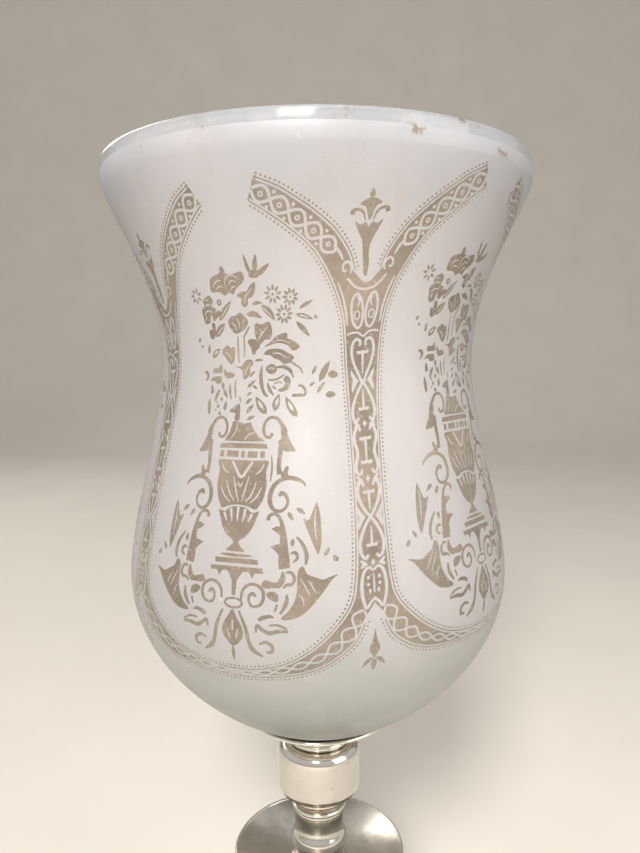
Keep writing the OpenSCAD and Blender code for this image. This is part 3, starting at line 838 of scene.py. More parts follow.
    # Middle bunch
    blob([(-3.6, 113.6), (-1.6, 113.8), (-0.3, 115.2), (1.6, 115.4), (2, 114.2), (1, 113.4), (1.1, 112),
        (0.1, 110.7), (-1, 110.5), (-1.3, 112.3), (-2.2, 113.2)])
    pale(brush([(-0.6, 111.6), (0.1, 113.2), (1.2, 114.6)], [0.25, 0.28, 0.12], per=3))
    for a, b, w in (((0.9, 111), (2.7, 112.6), 0.8), ((0.1, 108.2), (3.0, 110.4), 0.9), ((0.2, 106.3),
            (1.9, 107.4), 0.7), ((0.1, 104.3), (2, 105.9), 0.9), ((0.4, 102), (2.6, 104.3), 1.1),
            ((0.6, 100.4), (3.2, 101.4), 1.0), ((2.4, 115), (5.2, 115.2), 0.8), ((1.8, 109), (3.4, 107.9),
            0.7)):
        dark(leaf(a, b, w, 0.15, 5))
    for path, w in (([(-2.4, 121.3), (-2.5, 118), (-2.4, 114.6)], [0.3, 0.65, 0.4]), ([(-0.5, 121.3),
        (-0.5, 118.5), (-0.7, 115.9)], [0.4, 0.5, 0.3]), ([(-0.5, 121), (0.4, 122.2), (1.4, 123.6)],
        [0.4, 0.6, 0.4]),
                    ([(-3.5, 110.4), (-3.6, 108.2), (-3.2, 105.9)], [0.3, 0.6, 0.3]), ([(-5.3, 109.5),
                            (-5.2, 107.4), (-4.6, 105.4)], [0.3, 0.9, 0.3]), ([(-1.9, 106.2),
                            (-1.6, 104.6)], [0.5, 0.3])):
        dark(brush(path, w, per=3))
    for a, b, w in (((6.4, 101.9), (2.9, 106.3), 2.2), ((8.6, 102.4), (9.7, 106.7), 2.1), ((14.8, 100.7),
            (11.4, 106), 2.0)):
        a, b = np.array(a), np.array(b)
        dark(leaf(a, b, w, 0.2, 7))
        pale(leaf(a + (b - a) * 0.3, b - (b - a) * 0.2, w * 0.42, 0.1, 5))
    dark(brush([(13.2, 106.1), (15.1, 106.0), (16.7, 105.9), (16.8, 107.1), (15.9, 108.2), (14.9, 108.4)],
        [0.8, 0.8, 0.6, 0.7, 0.7, 0.5], per=3))
    # Outer sprig on the right
    for a, b, w in (((20.6, 108.6), (23.6, 113.6), 1.9), ((22.9, 110.4), (26.0, 109.6), 2.0), ((20.0, 106),
            (22.3, 108.6), 1.1), ((22.2, 105.4), (25.2, 105.0), 1.7), ((18.8, 110.6), (19.9, 112.9), 1.0),
            ((17.9, 107.8), (19.6, 108.8), 0.8)):
        dark(leaf(a, b, w, 0.1, 5))
    # Leaves on the left
    blob([(-12, 121.6), (-11.9, 123.3), (-10.8, 123.3), (-10.9, 124.9), (-9.6, 124.6), (-9.7, 122.5),
        (-10.3, 121.2), (-11.2, 120.9)])
    dark(leaf((-9.8, 121.4), (-6.2, 124.6), 2.0, 0.1))
    pale(brush([(-9, 122), (-7.2, 123.6)], [0.3, 0.2], per=3))
    blob([(-8.1, 117.5), (-7, 118.6), (-5.9, 119.1), (-4.9, 118.4), (-3.7, 118.5), (-3.8, 115.6),
        (-4.9, 114.3), (-6, 115), (-7, 116.2)])
    pale(brush([(-6.9, 117.3), (-5.7, 116.7), (-4.9, 115.5)], [0.15, 0.3, 0.2], per=3))
    dark(leaf((-11.6, 116.2), (-8.5, 118.4), 1.7, 0.1))
    pale(leaf((-10.9, 116.8), (-9.3, 117.9), 0.6, 0.1, 5))
    for points in (
            [(-15.1, 112.8), (-13.7, 113), (-12.9, 112), (-13.4, 110.7), (-14.4, 110.4), (-13.9, 111.8)],
            [(-11.5, 112.3), (-11.2, 113.6), (-9.6, 113.5), (-8.4, 114.4), (-8, 112.4), (-9.8, 112.2)],
            [(-7.6, 112.4), (-7.1, 113.3), (-6.6, 112.3), (-5.2, 112.3), (-3.8, 111.6), (-4.6, 110.9),
                (-6.6, 110.8)],
            [(-12.4, 110.2), (-11.6, 111.3), (-9.8, 111.4), (-8.5, 111.3), (-8.3, 109.9), (-9.9, 109.5),
                (-11.1, 110.4)],
            [(-12.1, 107.2), (-12, 109.2), (-11.3, 109), (-10.9, 107.5), (-11.5, 107)],
            [(-10.4, 105.4), (-10.1, 106.9), (-9.3, 107.9), (-8.6, 107.9), (-9.2, 106.5), (-9.9, 105.2)],
            [(-8.3, 109.6), (-7.3, 109.5), (-7.3, 108.3), (-8, 108.3)],
            [(-12.9, 104.4), (-12.4, 105.9), (-11.7, 104.5), (-11.6, 102.2), (-12.4, 101.9)]):
        blob(points)
    dark(leaf((-7.6, 108.2), (-5.9, 105.6), 1.0, 0.1, 5))
    dark(leaf((-6.7, 102.6), (-6.2, 105.2), 1.2, 0.0, 5))
    for x, z, r in ((-7.9, 105.6, 0.55), (-9, 103.8, 0.55), (-8.2, 102, 0.55), (-9.6, 104.9, 0.35),
            (-15.4, 119.4, 0.45), (-9.7, 102.9, 0.3)):
        dark(oval((x, z), r, r, n=6))
    # Cover of the urn, with its plume
    blob([(-5, 102.5), (-3.2, 103.9), (-1.8, 104.3), (-1.5, 102), (-1.7, 100.2), (-3.2, 100.5), (-3, 102)])
    dark(np.array([(-3.4, 100.2), (-1.6, 99.9), (0.2, 99.5), (1.9, 100.0), (2.9, 98.2), (4.4, 96.4),
        (6.4, 95.25), (-5.6, 95.25), (-4.2, 97.4)]))
    pale(brush([(0.4, 95.4), (1.4, 96.7), (3.0, 97.4)], [0.3, 0.3, 0.2], per=3))
    pale(brush([(-3.6, 95.9), (-2.3, 97.8), (-2.1, 99.4)], [0.2, 0.3, 0.2], per=3))
    # Frieze
    dark(np.array([(-6.6, 94.6), (6.8, 94.6), (7.2, 93.45), (-6.9, 93.45)]))
    for x0, x1 in ((-6.5, -5.3), (-4.4, -0.9), (-0.1, 0.95), (1.7, 4.5), (5.2, 6.5)):
        dark(np.array([(x0, 91.3), (x1, 91.3), (x1, 92.85), (x0, 92.85)]))
    # Body with its pendant and acanthus leaves
    dark(smooth([(-6.7, 90.5), (-6.1, 88), (-6.3, 84.6), (-5.6, 81.5), (-4.6, 79.3), (-3.9, 78.9),
        (-2, 79.6), (0.4, 79.9), (2.8, 79.6), (4.9, 78.9), (5.9, 79.8), (6.8, 81.5), (7.4, 84.6),
        (7.1, 88), (7.6, 90.5), (4, 90.6), (0.4, 90.6), (-3.4, 90.6)], True, 4))
    pale(brush([(-2.4, 90.3), (-1.2, 88.5), (0.45, 86.5), (2.1, 88.5), (3.3, 90.3)],
        [0.7, 0.65, 0.8, 0.65, 0.7], per=3))
    for path in ([(0.3, 80.6), (-0.7, 83.4), (-1.7, 86.8)], [(-0.8, 80.6), (-2.4, 82.6), (-3.6, 85.6)],
        [(-2, 80.4), (-3.8, 81.9), (-5.1, 84.2)], [(-3.3, 87.3), (-4.6, 88.1), (-5.6, 89.8)],
                 [(1.1, 80.6), (1.8, 83.4), (2.6, 86.8)], [(2.2, 80.6), (3.7, 82.6),
                         (4.7, 85.6)], [(3.4, 80.4), (5.0, 81.9), (6.2, 84.2)], [(4.3, 87.3), (5.5, 88.1),
                         (6.5, 89.8)], [(-0.2, 85.4), (0.4, 84.2), (1.0, 85.4)]):
        pale(brush(path, [0.2, 0.42, 0.2], per=3))
    dark(brush([(8.3, 91.9), (8.6, 88.6), (8.3, 85.6)], [0.3, 0.5, 0.3], per=3))
    # Bowl, stem, rings and base
    dark(smooth([(-4.9, 78.5), (-4.3, 76.7), (-3.5, 74.6), (-2.1, 72.6), (-0.4, 71.4), (-0.2, 70.7),
        (-1.2, 69.6), (-1.9, 68.9), (0.5, 68.75), (2.9, 68.9), (2.2, 69.6), (1.3, 70.7), (1.5, 71.4),
        (3.1, 72.6), (4.5, 74.6), (5.3, 76.7), (5.9, 78.5), (4.3, 78.1), (2.6, 79.2), (0.5, 79.5),
        (-1.6, 79.2), (-3.3, 78.1)], True, 3))
    for x0, z0, x1 in ((-3.3, 77.9, -2.4), (-1.5, 79, -1), (0.45, 79.4, 0.45), (2.4, 79, 1.9),
            (4.2, 77.9, 3.3)):
        pale(brush([(x0, z0), ((x0 + x1) / 2, (z0 + 75.9) / 2), (x1, 75.9)], [0.7, 0.6, 0.25], per=2))
    dark(oval((0.8, 67.9), 4.2, 0.38, n=12))
    dark(np.array([(-4.6, 67.0), (6.3, 67.1), (6.5, 65.9), (-4.4, 65.8)]))
    dark(np.array([(-5.6, 65.0), (7.5, 65.1), (7.8, 63.8), (5.9, 63.9), (5.1, 62.6), (4.4, 64.0),
        (2.9, 64.1), (1.5, 62.0), (1.3, 58.3), (0.4, 58.3), (0.2, 62.0), (-1.1, 64.1), (-2.4, 64),
        (-3.1, 62.6), (-3.9, 64), (-5.4, 63.9)]))
    # Scrolls at the sides, drawn on the right and mirrored
    scrolls = [
        brush([(8.3, 97.2), (7.6, 96.2), (6.3, 96.6), (5.75, 98.2), (6.2, 100), (7.5, 101), (9.2, 100.8),
            (10.6, 99.3), (11.5, 97.3), (11.0, 95)], [0.9, 0.7, 0.75, 0.85, 0.8, 0.75, 0.8, 1.1, 1.5, 1.2],
            5),
        smooth([(10.4, 99), (11.6, 98.0), (13.1, 95.0), (14.5, 92.7), (13.4, 92.5), (11.3, 92.9),
            (10.8, 95)], True, 3),
        brush([(10.7, 95.5), (10.5, 92), (10.3, 89.4), (10.6, 87.2)], [1.5, 1.2, 1.1, 1.4], 3),
        smooth([(11, 87.6), (11.7, 88.1), (12.2, 89.1), (12.9, 88.7), (12.7, 87.2), (13.4, 86.3),
            (11.2, 86.3)], True, 3),
        brush([(17.2, 83.9), (16.6, 84.9), (15.1, 85.8), (12.9, 86.3), (10.9, 85.8), (9.3, 84.5),
            (8.5, 82.5), (8.6, 80.4), (9.6, 78.9), (11.1, 78.5), (12.4, 79.2), (12.9, 80.7), (12.4, 82.2),
            (11.3, 82.7), (10.7, 82.0)],
              [0.3, 0.7, 1.0, 1.1, 1.0, 1.15, 1.2, 1.1, 0.9, 0.8, 0.75, 0.75, 0.9, 1.2, 0.7], 5),
        brush([(8.3, 76.4), (8.6, 77.5), (9.8, 77.9), (10.9, 77.2), (11.6, 75.8), (11.9, 74), (12.2, 71.8),
            (12.3, 69.5), (12.4, 67.2), (12.6, 65)], [1.0, 0.9, 0.8, 0.8, 0.9, 1.4, 1.7, 2.1, 2.6, 2.6], 4),
        np.array([(9.2, 74.4), (10.4, 75.0), (11.8, 74.9), (12, 72.3), (10.9, 73.2)]),
        np.array([(9.0, 70.2), (10.4, 70.7), (12, 70.9), (11.6, 67.6), (10.4, 69.2)]),
        leaf((13.0, 78.2), (14.4, 76.2), 1.1),
        leaf((15, 79.0), (17.2, 77.4), 1.1, 0.1),
        oval((14.3, 71.0), 0.5, 0.95),
        brush([(15.2, 72.3), (16.3, 71), (17.2, 69.3), (17.6, 67.3), (17.3, 65.6)],
            [0.5, 0.8, 0.9, 1.0, 0.5], 3),
        brush([(13.9, 68.4), (15, 68.7), (15.5, 67.3), (14.5, 66.4)], [0.5, 0.8, 0.7, 0.5], 3),
        smooth([(19.9, 80.1), (20.6, 77.4), (20.9, 74), (20.9, 70.5), (20.2, 67.8), (19, 70.3),
            (17.6, 73.9), (16.7, 76.4), (18, 76), (19, 78.2)], True, 3),
        leaf((24.6, 65.6), (23.6, 67.2), 1.2),
        leaf((21.6, 67.2), (22.8, 69.2), 0.9),
        # Feathered foot of the scrolls
        smooth([(15.7, 64.6), (16.8, 65.3), (17.7, 63.5), (19.4, 62.6), (21.2, 61.8), (22.6, 62.2),
            (24.6, 62.6), (23.3, 61.6), (21.8, 59.6), (20.3, 57.6), (18, 55.0), (15.9, 53.4), (13.2, 52.8),
            (12, 53.3), (13.6, 54.9), (15, 57.3), (15.5, 59.8), (15.5, 62.3)], True, 3),
        smooth([(7.4, 61.2), (8.2, 62.4), (9.6, 62), (10.9, 61.9), (11.6, 62.9), (12.2, 64.6),
            (12.9, 62.5), (11.8, 60.6), (10.4, 60.5), (9, 60.4), (8.1, 60.6)], True, 3),
        smooth([(8.6, 59.3), (9.4, 57.9), (11.2, 57.2), (11.4, 58.8), (10.2, 59.7)], True, 3),
        brush([(12.4, 60.4), (13.2, 61.2), (14.4, 61.3), (14.9, 62.7), (14.1, 64.1), (12.9, 64.0)], [0.5,
            0.8, 0.8, 0.8, 0.8, 0.5], 3),
        brush([(13.3, 58.9), (13.1, 56.7), (11.8, 54.3)], [0.6, 1.1, 0.6], 3),
        brush([(11.1, 56.6), (10.6, 54.9)], [0.6, 0.4], 2),
        brush([(7.0, 52.6), (7.8, 53.3), (9.4, 53.8), (10.4, 53.4)], [0.9, 1.1, 0.9, 0.4], 3),
        brush([(6.3, 49.6), (6.6, 51.4), (7.8, 50.4), (9.4, 49.6), (11.3, 50.0), (13.6, 50.0)], [0.4, 0.9,
            1.0, 1.1, 1.0, 0.7], 4),
        brush([(9.3, 51.5), (11.3, 51.6), (13.4, 50.6)], [0.4, 0.6, 0.6], 3),
        brush([(2.7, 57.3), (3.0, 59.6), (4.4, 61.1), (6.2, 61.2), (7.7, 60), (8.0, 58), (7.2, 56.4),
            (5.6, 56), (4.7, 57), (4.7, 58.5), (5.5, 59.1), (6.2, 58.3)], [0.5, 0.7, 0.8, 0.8, 0.8, 0.8,
            0.75, 0.7, 0.65, 0.7, 0.9, 0.7], 4),
        brush([(2.3, 54.7), (3.9, 50.6), (4.6, 47), (5.6, 44.9), (7.7, 43.3)], [0.5, 0.9, 0.9, 1.3, 0.5], 4),
        brush([(7.0, 46.6), (8.4, 47.2), (9.9, 46.3), (9.8, 44.7), (8.6, 44.6)], [0.5, 0.9, 0.9, 0.9, 0.6],
            3),
    ]
    for outline in scrolls:
        dark(outline)
        dark(flipped(outline, URN_X))
    for path in ([(16.2, 62.6), (17.4, 60.4), (18.4, 58.2)], [(17.9, 62), (18.9, 60.4), (19.6, 58.9)],
            [(15.9, 58.9), (16.8, 57.6), (17, 56)]):
        line = brush(path, [0.15, 0.32, 0.15], 3)
        pale(line)
        pale(flipped(line, URN_X))
    line = brush([(19.6, 78.4), (19.4, 75), (19.8, 71.2)], [0.15, 0.35, 0.15], 3)
    pale(line)
    pale(flipped(line, URN_X))
    # Link and tassel in the middle of the foot
    dark(ring(oval((0.9, 56.5), 2.1, 1.15, n=8), 0.55))
    blob([(0.8, 55), (-0.3, 53.4), (-1.5, 51.2), (-1.9, 48.8), (-0.8, 46.9), (0.5, 45.4), (2.3, 46.7),
        (3.3, 48.6), (2.9, 51), (1.8, 53)])
    pale(brush([(0.75, 52.4), (0.75, 49.6)], [0.3, 0.45], per=2))
    pale(brush([(-0.6, 50), (0.0, 47.6)], [0.3, 0.35], per=2))
    pale(brush([(2.0, 50), (1.5, 47.6)], [0.3, 0.35], per=2))
    dark(leaf((0.6, 45.7), (0.6, 41.4), 0.9))
    return out


def unit_shapes():
    """Everything on one fifth of the shade: the panel in the middle, half a column on either side."""
    shapes = list(panel_shapes())
    for outline, clear in column_shapes():
        shapes.append((outline + [HALF_W, 0], clear))
        shapes.append((outline - [HALF_W, 0], clear))
    return shapes


# Glass shade


def shade_outline(look):
    """Outer curve of the shade from the foot up, radius and height above its foot, and the same
    curve inside the glass: three cubics for bowl, body and flare, then the upright lip band."""
    rim, waist, belly = reach_of("glass_shade"), look.waist_radius / MM, look.belly_radius / MM
    h = top_of("glass_shade") - foot_of("glass_shade")
    lip = h - look.lip_band / MM
    waist_z, belly_z = h - WAIST_DROP, h - BELLY_DROP
    curves = (
        [(rim, lip), (rim - 3.4, lip - 10.7), (waist, waist_z + 23.7), (waist, waist_z)],
        [(waist, waist_z), (waist, waist_z - 14.5), (belly, belly_z + 15.8), (belly, belly_z)],
        [(belly, belly_z), (belly, belly_z - 19.2), (BOWL_START_R + 27.1, 12.6), (BOWL_START_R, 0)],
    )
    outer = np.vstack([cubic(c, 160) for c in curves])[::-1]
    inner = [cubic(c, 30, look.wall / MM) for c in curves]
    inner = np.vstack([line[:-1] for line in inner] + [inner[-1][-1:]])
    return outer, inner, h, lip


def slant_of(azimuth, first):
    """How far the pattern stands above its drawn place at an azimuth, mm. The five panels were laid
    on at slightly different heights: from one panel to the next the shift runs along an S-curve."""
    steps = np.array([0.0, 5.5, 3.2, -3.0, -4.9, 0.0])
    turn = ((azimuth - first) / PANEL_TURN) % PANELS
    k = np.minimum(turn.astype(int), PANELS - 1)
    t = turn - k
    return steps[k] + (steps[k + 1] - steps[k]) * t * t * (3 - 2 * t)


def winding(outline, points):
    """How many times the closed outline runs round each point (non-zero is inside)."""
    a, b = outline, np.roll(outline, -1, 0)
    x, z = points[:, 0][:, None], points[:, 1][:, None]
    side = (b[:, 0] - a[:, 0]) * (z - a[:, 1]) - (x - a[:, 0]) * (b[:, 1] - a[:, 1])
    up = (a[:, 1] <= z) & (b[:, 1] > z) & (side > 0)
    down = (a[:, 1] > z) & (b[:, 1] <= z) & (side < 0)
    return up.sum(1) - down.sum(1)


def pattern_sheet(columns, low, high):
    """One fifth of the shade's outer wall laid flat: every outline of the pattern becomes edges of
    one triangulation, filled up with an even grid, and a triangle is clear when the last shape
    painted over its middle is. Returns points, triangles and that flag."""
    shapes = unit_shapes()
    shapes = [s for s in shapes if s[0][:, 0].max() > -HALF_W and s[0][:, 0].min() < HALF_W]
    rows = int(round((high - low) / (PATTERN_W / columns)))
    x, z = np.linspace(-HALF_W, HALF_W, columns + 1), np.linspace(low, high, rows + 1)
    grid = np.stack(np.meshgrid(x, z), 2)
    index = np.arange(grid.shape[0] * grid.shape[1]).reshape(grid.shape[:2])
    frame_line = np.concatenate([index[0, :-1], index[:-1, -1], index[-1, :0:-1], index[:0:-1, 0]])
    points = [grid.reshape(-1, 2)]
    edges = [np.stack([frame_line, np.roll(frame_line, -1)], 1)]
    start = index.size
    for outline, _ in shapes:
        k = np.arange(len(outline)) + start
        points.append(outline)
        edges.append(np.stack([k, np.roll(k, -1)], 1))
        start += len(outline)
    points, edges = np.vstack(points), np.vstack(edges)
    made = delaunay_2d_cdt([Vector(p) for p in points.tolist()], edges.tolist(), [], 0, 1e-4, False)
    flat = np.array([v[:] for v in made[0]])
    triangles = np.array(made[2])
    middle = flat[triangles].mean(1)
    inside = (np.abs(middle[:, 0]) < HALF_W) & (middle[:, 1] > low) & (middle[:, 1] < high)
    triangles, middle = triangles[inside], middle[inside]
    a, b, c = flat[triangles[:, 0]], flat[triangles[:, 1]], flat[triangles[:, 2]]
    area = (b[:, 0] - a[:, 0]) * (c[:, 1] - a[:, 1]) - (c[:, 0] - a[:, 0]) * (b[:, 1] - a[:, 1])
    triangles[area < 0] = triangles[area < 0][:, ::-1]
    clear = np.zeros(len(triangles), bool)
    for outline, dark in shapes:
        near = np.flatnonzero((middle >= outline.min(0)).all(1) & (middle <= outline.max(0)).all(1))
        if len(near):
            clear[near[winding(outline, middle[near]) != 0]] = dark
    used = np.unique(triangles)
    new_index = np.full(len(flat), -1)
    new_index[used] = np.arange(len(used))
    return flat[used], new_index[triangles], clear


def shade_mesh(look):
    """The shade: r = outline(z) for every azimuth, on the pattern's triangles outside and on a plain
    grid for lip, inner wall and foot. The two are welded along their shared rings."""
    outer, inner, h, lip = shade_outline(look)
    base = foot_of("glass_shade")
    wall = look.wall / MM
    hole = BASE_HOLE_R
    low, high = SHEET_FOOT, lip
    first = look.pattern_turn
    flat, triangles, clear = pattern_sheet(look.columns, low, high)
    spots, faces, kinds = [], [], []
    for k in range(PANELS):
        azimuth = first + PANEL_TURN * (k + flat[:, 0] / PATTERN_W)
        fade = np.interp(flat[:, 1], [low, PATTERN_FOOT, PATTERN_TOP, high], [0, 1, 1, 0])
        z = flat[:, 1] + slant_of(azimuth, first) * fade
        r = np.interp(z, outer[:, 1], outer[:, 0])
        a = np.radians(azimuth)
        spots.append(np.stack([r * np.sin(a), -r * np.cos(a), z + base], 1))
        faces.append(triangles + k * len(flat))
        kinds.append(clear.astype(int))
    count = PANELS * len(flat)
    # Plain grid, from the top of the pattern up over the lip, down inside and up to its foot
    lip_mid = (reach_of("glass_shade") - wall / 2, h - wall / 2)
    below = outer[outer[:, 1] < low - 0.3]
    keep = np.arange(1, len(below), 4)
    rows = np.vstack([
        [[reach_of("glass_shade"), high], [reach_of("glass_shade"), h - wall / 2 - 2.2]],
        arc(lip_mid, wall / 2, 0, 180, 12),
        inner,
        [[hole + 0.4, wall], [hole, wall - 0.4], [hole, 0.4], [hole + 0.4, 0.0], [BOWL_START_R, 0.0]],
        below[keep],
        [[np.interp(low, outer[:, 1], outer[:, 0]), low]],
    ])
    n = look.columns * PANELS
    a = np.radians(first + (np.arange(n) - look.columns / 2) * 360 / n)
    r, z = rows[:, 0][:, None], rows[:, 1][:, None] + base
    spots.append(np.stack([r * np.sin(a), -r * np.cos(a), z * np.ones(n)], 2).reshape(-1, 3))
    i, j = np.arange(len(rows) - 1)[:, None], np.arange(n)[None, :]
    on = (j + 1) % n
    quads = (np.stack([i * n + j, i * n + on, (i + 1) * n + on, (i + 1) * n + j], 2) + count).reshape(-1, 4)
    mesh = bpy.data.meshes.new("etched_glass_shade")
    mesh.from_pydata((np.vstack(spots) * MM).tolist(), [], np.vstack(faces).tolist() + quads.tolist())
    at_top = (np.arange(len(rows) - 1) >= 1) & (np.arange(len(rows) - 1) < 12)
    mesh.polygons.foreach_set("material_index", np.concatenate(kinds + [np.where(np.repeat(at_top, n), 2,
        0)]).astype(np.int32))
    work = bmesh.new()
    work.from_mesh(mesh)
    rim = [v for v in work.verts if v.is_boundary]
    bmesh.ops.remove_doubles(work, verts=rim, dist=0.03 * MM)
    if any(edge.is_boundary for edge in work.edges):
        raise RuntimeError("the pattern and the plain grid of the shade don't meet")
    work.to_mesh(mesh)
    work.free()
    finish_mesh(mesh, 50)
    return mesh


# Turned pieces


def stem_ring_outline():
    """Short ring with one half-round bead."""
    h = top_of("foot_ring") - foot_of("foot_ring")
    edge = 0.15 * h
    return np.vstack([
        [[HOLE_R, 0], [SLIM_R, 0], [SLIM_R, edge]],
        bead(SWELL_R, edge, h - 2 * edge),
        [[SLIM_R, h - edge], [SLIM_R, h], [HOLE_R, h]]])


def vase_outline(h, neck_z, swell_z):
    """Baluster: three cubics, narrow at neck_z and full at swell_z."""
    neck, swell = SLIM_R, SWELL_R
    upper, middle = (h + neck_z) / 2, (neck_z + swell_z) / 2
    return np.vstack([
        [[HOLE_R, h]],
        cubic([(neck + 0.35, h), (neck, upper), (neck, upper), (neck, neck_z)]),
        cubic([(neck, neck_z), (neck, middle), (swell, middle), (swell, swell_z)])[1:],
        cubic([(swell, swell_z), (swell, swell_z * 0.6), (neck, swell_z * 0.5), (neck, 0)])[1:],
        [[HOLE_R, 0]]])


def stem_outlines():
    """Outline of each plated piece of the stem, from its own foot up."""
    hole = HOLE_R
    knop_h = top_of("barrel_knop") - foot_of("barrel_knop")
    knop_r = reach_of("barrel_knop")
    neck_r = NECK_BEAD_R
    collar_r = reach_of("knop_collar")
    tray_r, pan_r = reach_of("shade_tray"), reach_of("drip_pan")
    upper_h = top_of("upper_baluster") - foot_of("upper_baluster")
    lower_h = top_of("lower_baluster") - foot_of("lower_baluster")
    foot_r = reach_of("foot_shell")
    dome = [(10.25, 22.5), (13.25, 7.5), (foot_r - 19, 10.5), (foot_r - 5, 4.5)]
    return {
        "neck_ring": np.vstack([[[hole, 0]], bead(neck_r, 0, 2.5), bead(neck_r - 0.4, 2.5, 2.5),
            [[hole, 5]]]),
        "barrel_knop": np.vstack([
            [[hole, knop_h]], round_over(neck_r - 0.3, knop_r, knop_h, knop_h - 4.5),
            round_over(neck_r - 0.1, knop_r, 0, 3.6, 2)[::-1], [[hole, 0]]]),
        "knop_collar": np.vstack([
            [[hole, 0], [8.3, 0], [8.25, 1.2]], bead(collar_r - 0.7, 1.2, 1.6), [[collar_r - 1.3, 2.8],
                [collar_r - 1.3, 4.0]],
            bead(collar_r, 4.0, 3.0), [[hole, 7]]]),
        "upper_baluster": vase_outline(upper_h, upper_h * 0.75, upper_h * 0.34),
        "upper_pan_ring": stem_ring_outline(),
        "lower_pan_ring": stem_ring_outline(),
        "foot_ring": stem_ring_outline(),
        "lower_baluster": vase_outline(lower_h, lower_h * 0.55, lower_h * 0.2),
        "drip_pan": np.vstack([[[hole, 0], [SWELL_R, 0]], arc((pan_r - 0.65, 6.25), 0.65, -70, 160, 10),
            [[SWELL_R, 1], [hole, 1]]]),
        "shade_tray": np.vstack([
            [[hole, 0], [neck_r - 1, 0], [neck_r, 1], [17, 2]], arc((tray_r - 0.65, 5.85), 0.65, -50, 150,
                10), [[18, 3], [hole, 3]]]),
        "foot_shell": np.vstack([
            [[hole, 22.5]], cubic(dome, 40), [[foot_r - 3.8, 3.6]], arc((foot_r - 1, 2), 1, 90, 0, 8),
            [[foot_r, 0], [foot_r - 1.2, 0], [foot_r - 1.2, 1.8],
                [foot_r - 5, 2.7]], cubic(dome, 40, 1.2)[::-1], [[hole, 21.3]]]),
    }


def cup_outline():
    """Candle cup: a beaded socket, its solid bottom bored from below for the rod."""
    return np.vstack([
        [[0, 4], [3, 4], [3, 0]], bead(13.8, 0, 2.2), [[11.1, 3.6], [12.7, 9]], [[12.7, 28.8]],
        bead(13.8, 28.8, 2.2), [[11.3, 31], [11.3, 6], [0, 6]]])


def threaded(r, h, a):
    """Rod with a rolled thread at both ends: the radius dips by up to half a millimetre in a
    triangle wave of run-out (height / pitch - azimuth / full turn)."""
    pitch, depth = 1.0, 0.5
    phase = (h / pitch - a / (2 * np.pi)) % 1
    cut = depth * (1 - np.abs(2 * phase - 1))
    span = h.max()
    at_end = np.clip((14 - h) / 1.0, 0, 1) + np.clip((h - (span - 6)) / 1.0, 0, 1)
    tip = np.clip(h / 0.5, 0, 1) * np.clip((span - h) / 0.5, 0, 1)
    return np.where(r > 2.9, r - cut * at_end * tip, r), h


def hexed(r, h, a):
    """Six-sided nut: the radius is the flats' distance over the cosine of the angle from the
    nearest flat, cut by a cone that takes the corners off above and below."""
    flat = 5.0 / np.cos((a + np.pi / 6) % (np.pi / 3) - np.pi / 6)
    cone = 5.15 + 1.2 * np.minimum(h, 5.0 - h)
    return np.where(r > 4.0, np.minimum(flat, cone), r), h


def split_ring_mesh(name, z, inner, outer, thick, gap):
    """Washer with a gap: a rounded rectangle carried round the axis from one end of the gap to the
    other, as one grid with a flat cap at each end."""
    outline = soften([(inner, z), (outer, z), (outer, z + thick), (inner, z + thick)], 0.15, True)
    half = np.arcsin(gap / 2 / outer)
    a = np.linspace(np.pi / 2 + half, np.pi / 2 + 2 * np.pi - half, 97)[:, None]
    grid = np.stack([outline[:, 0] * np.sin(a), -outline[:, 0] * np.cos(a),
        outline[:, 1] * np.ones_like(a)], 2)
    m, n = len(outline), len(a)
    j, i = np.arange(n - 1)[:, None], np.arange(m)[None, :]
    up = (i + 1) % m
    quads = np.stack([j * m + i, (j + 1) * m + i, (j + 1) * m + up, j * m + up], 2).reshape(-1, 4).tolist()
    caps = [list(range(m))[::-1], list(range((n - 1) * m, n * m))]
    mesh = bpy.data.meshes.new(name)
    mesh.from_pydata((grid.reshape(-1, 3) * MM).tolist(), [], quads + [c[::-1] for c in caps])
    point_value(mesh, "bend", np.tile(np.clip(bend_of(outline, True), -1, 1), n))
    work = bmesh.new()
    work.from_mesh(mesh)
    bmesh.ops.recalc_face_normals(work, faces=work.faces)
    work.to_mesh(mesh)
    work.free()
    finish_mesh(mesh)
    return mesh


# Operators


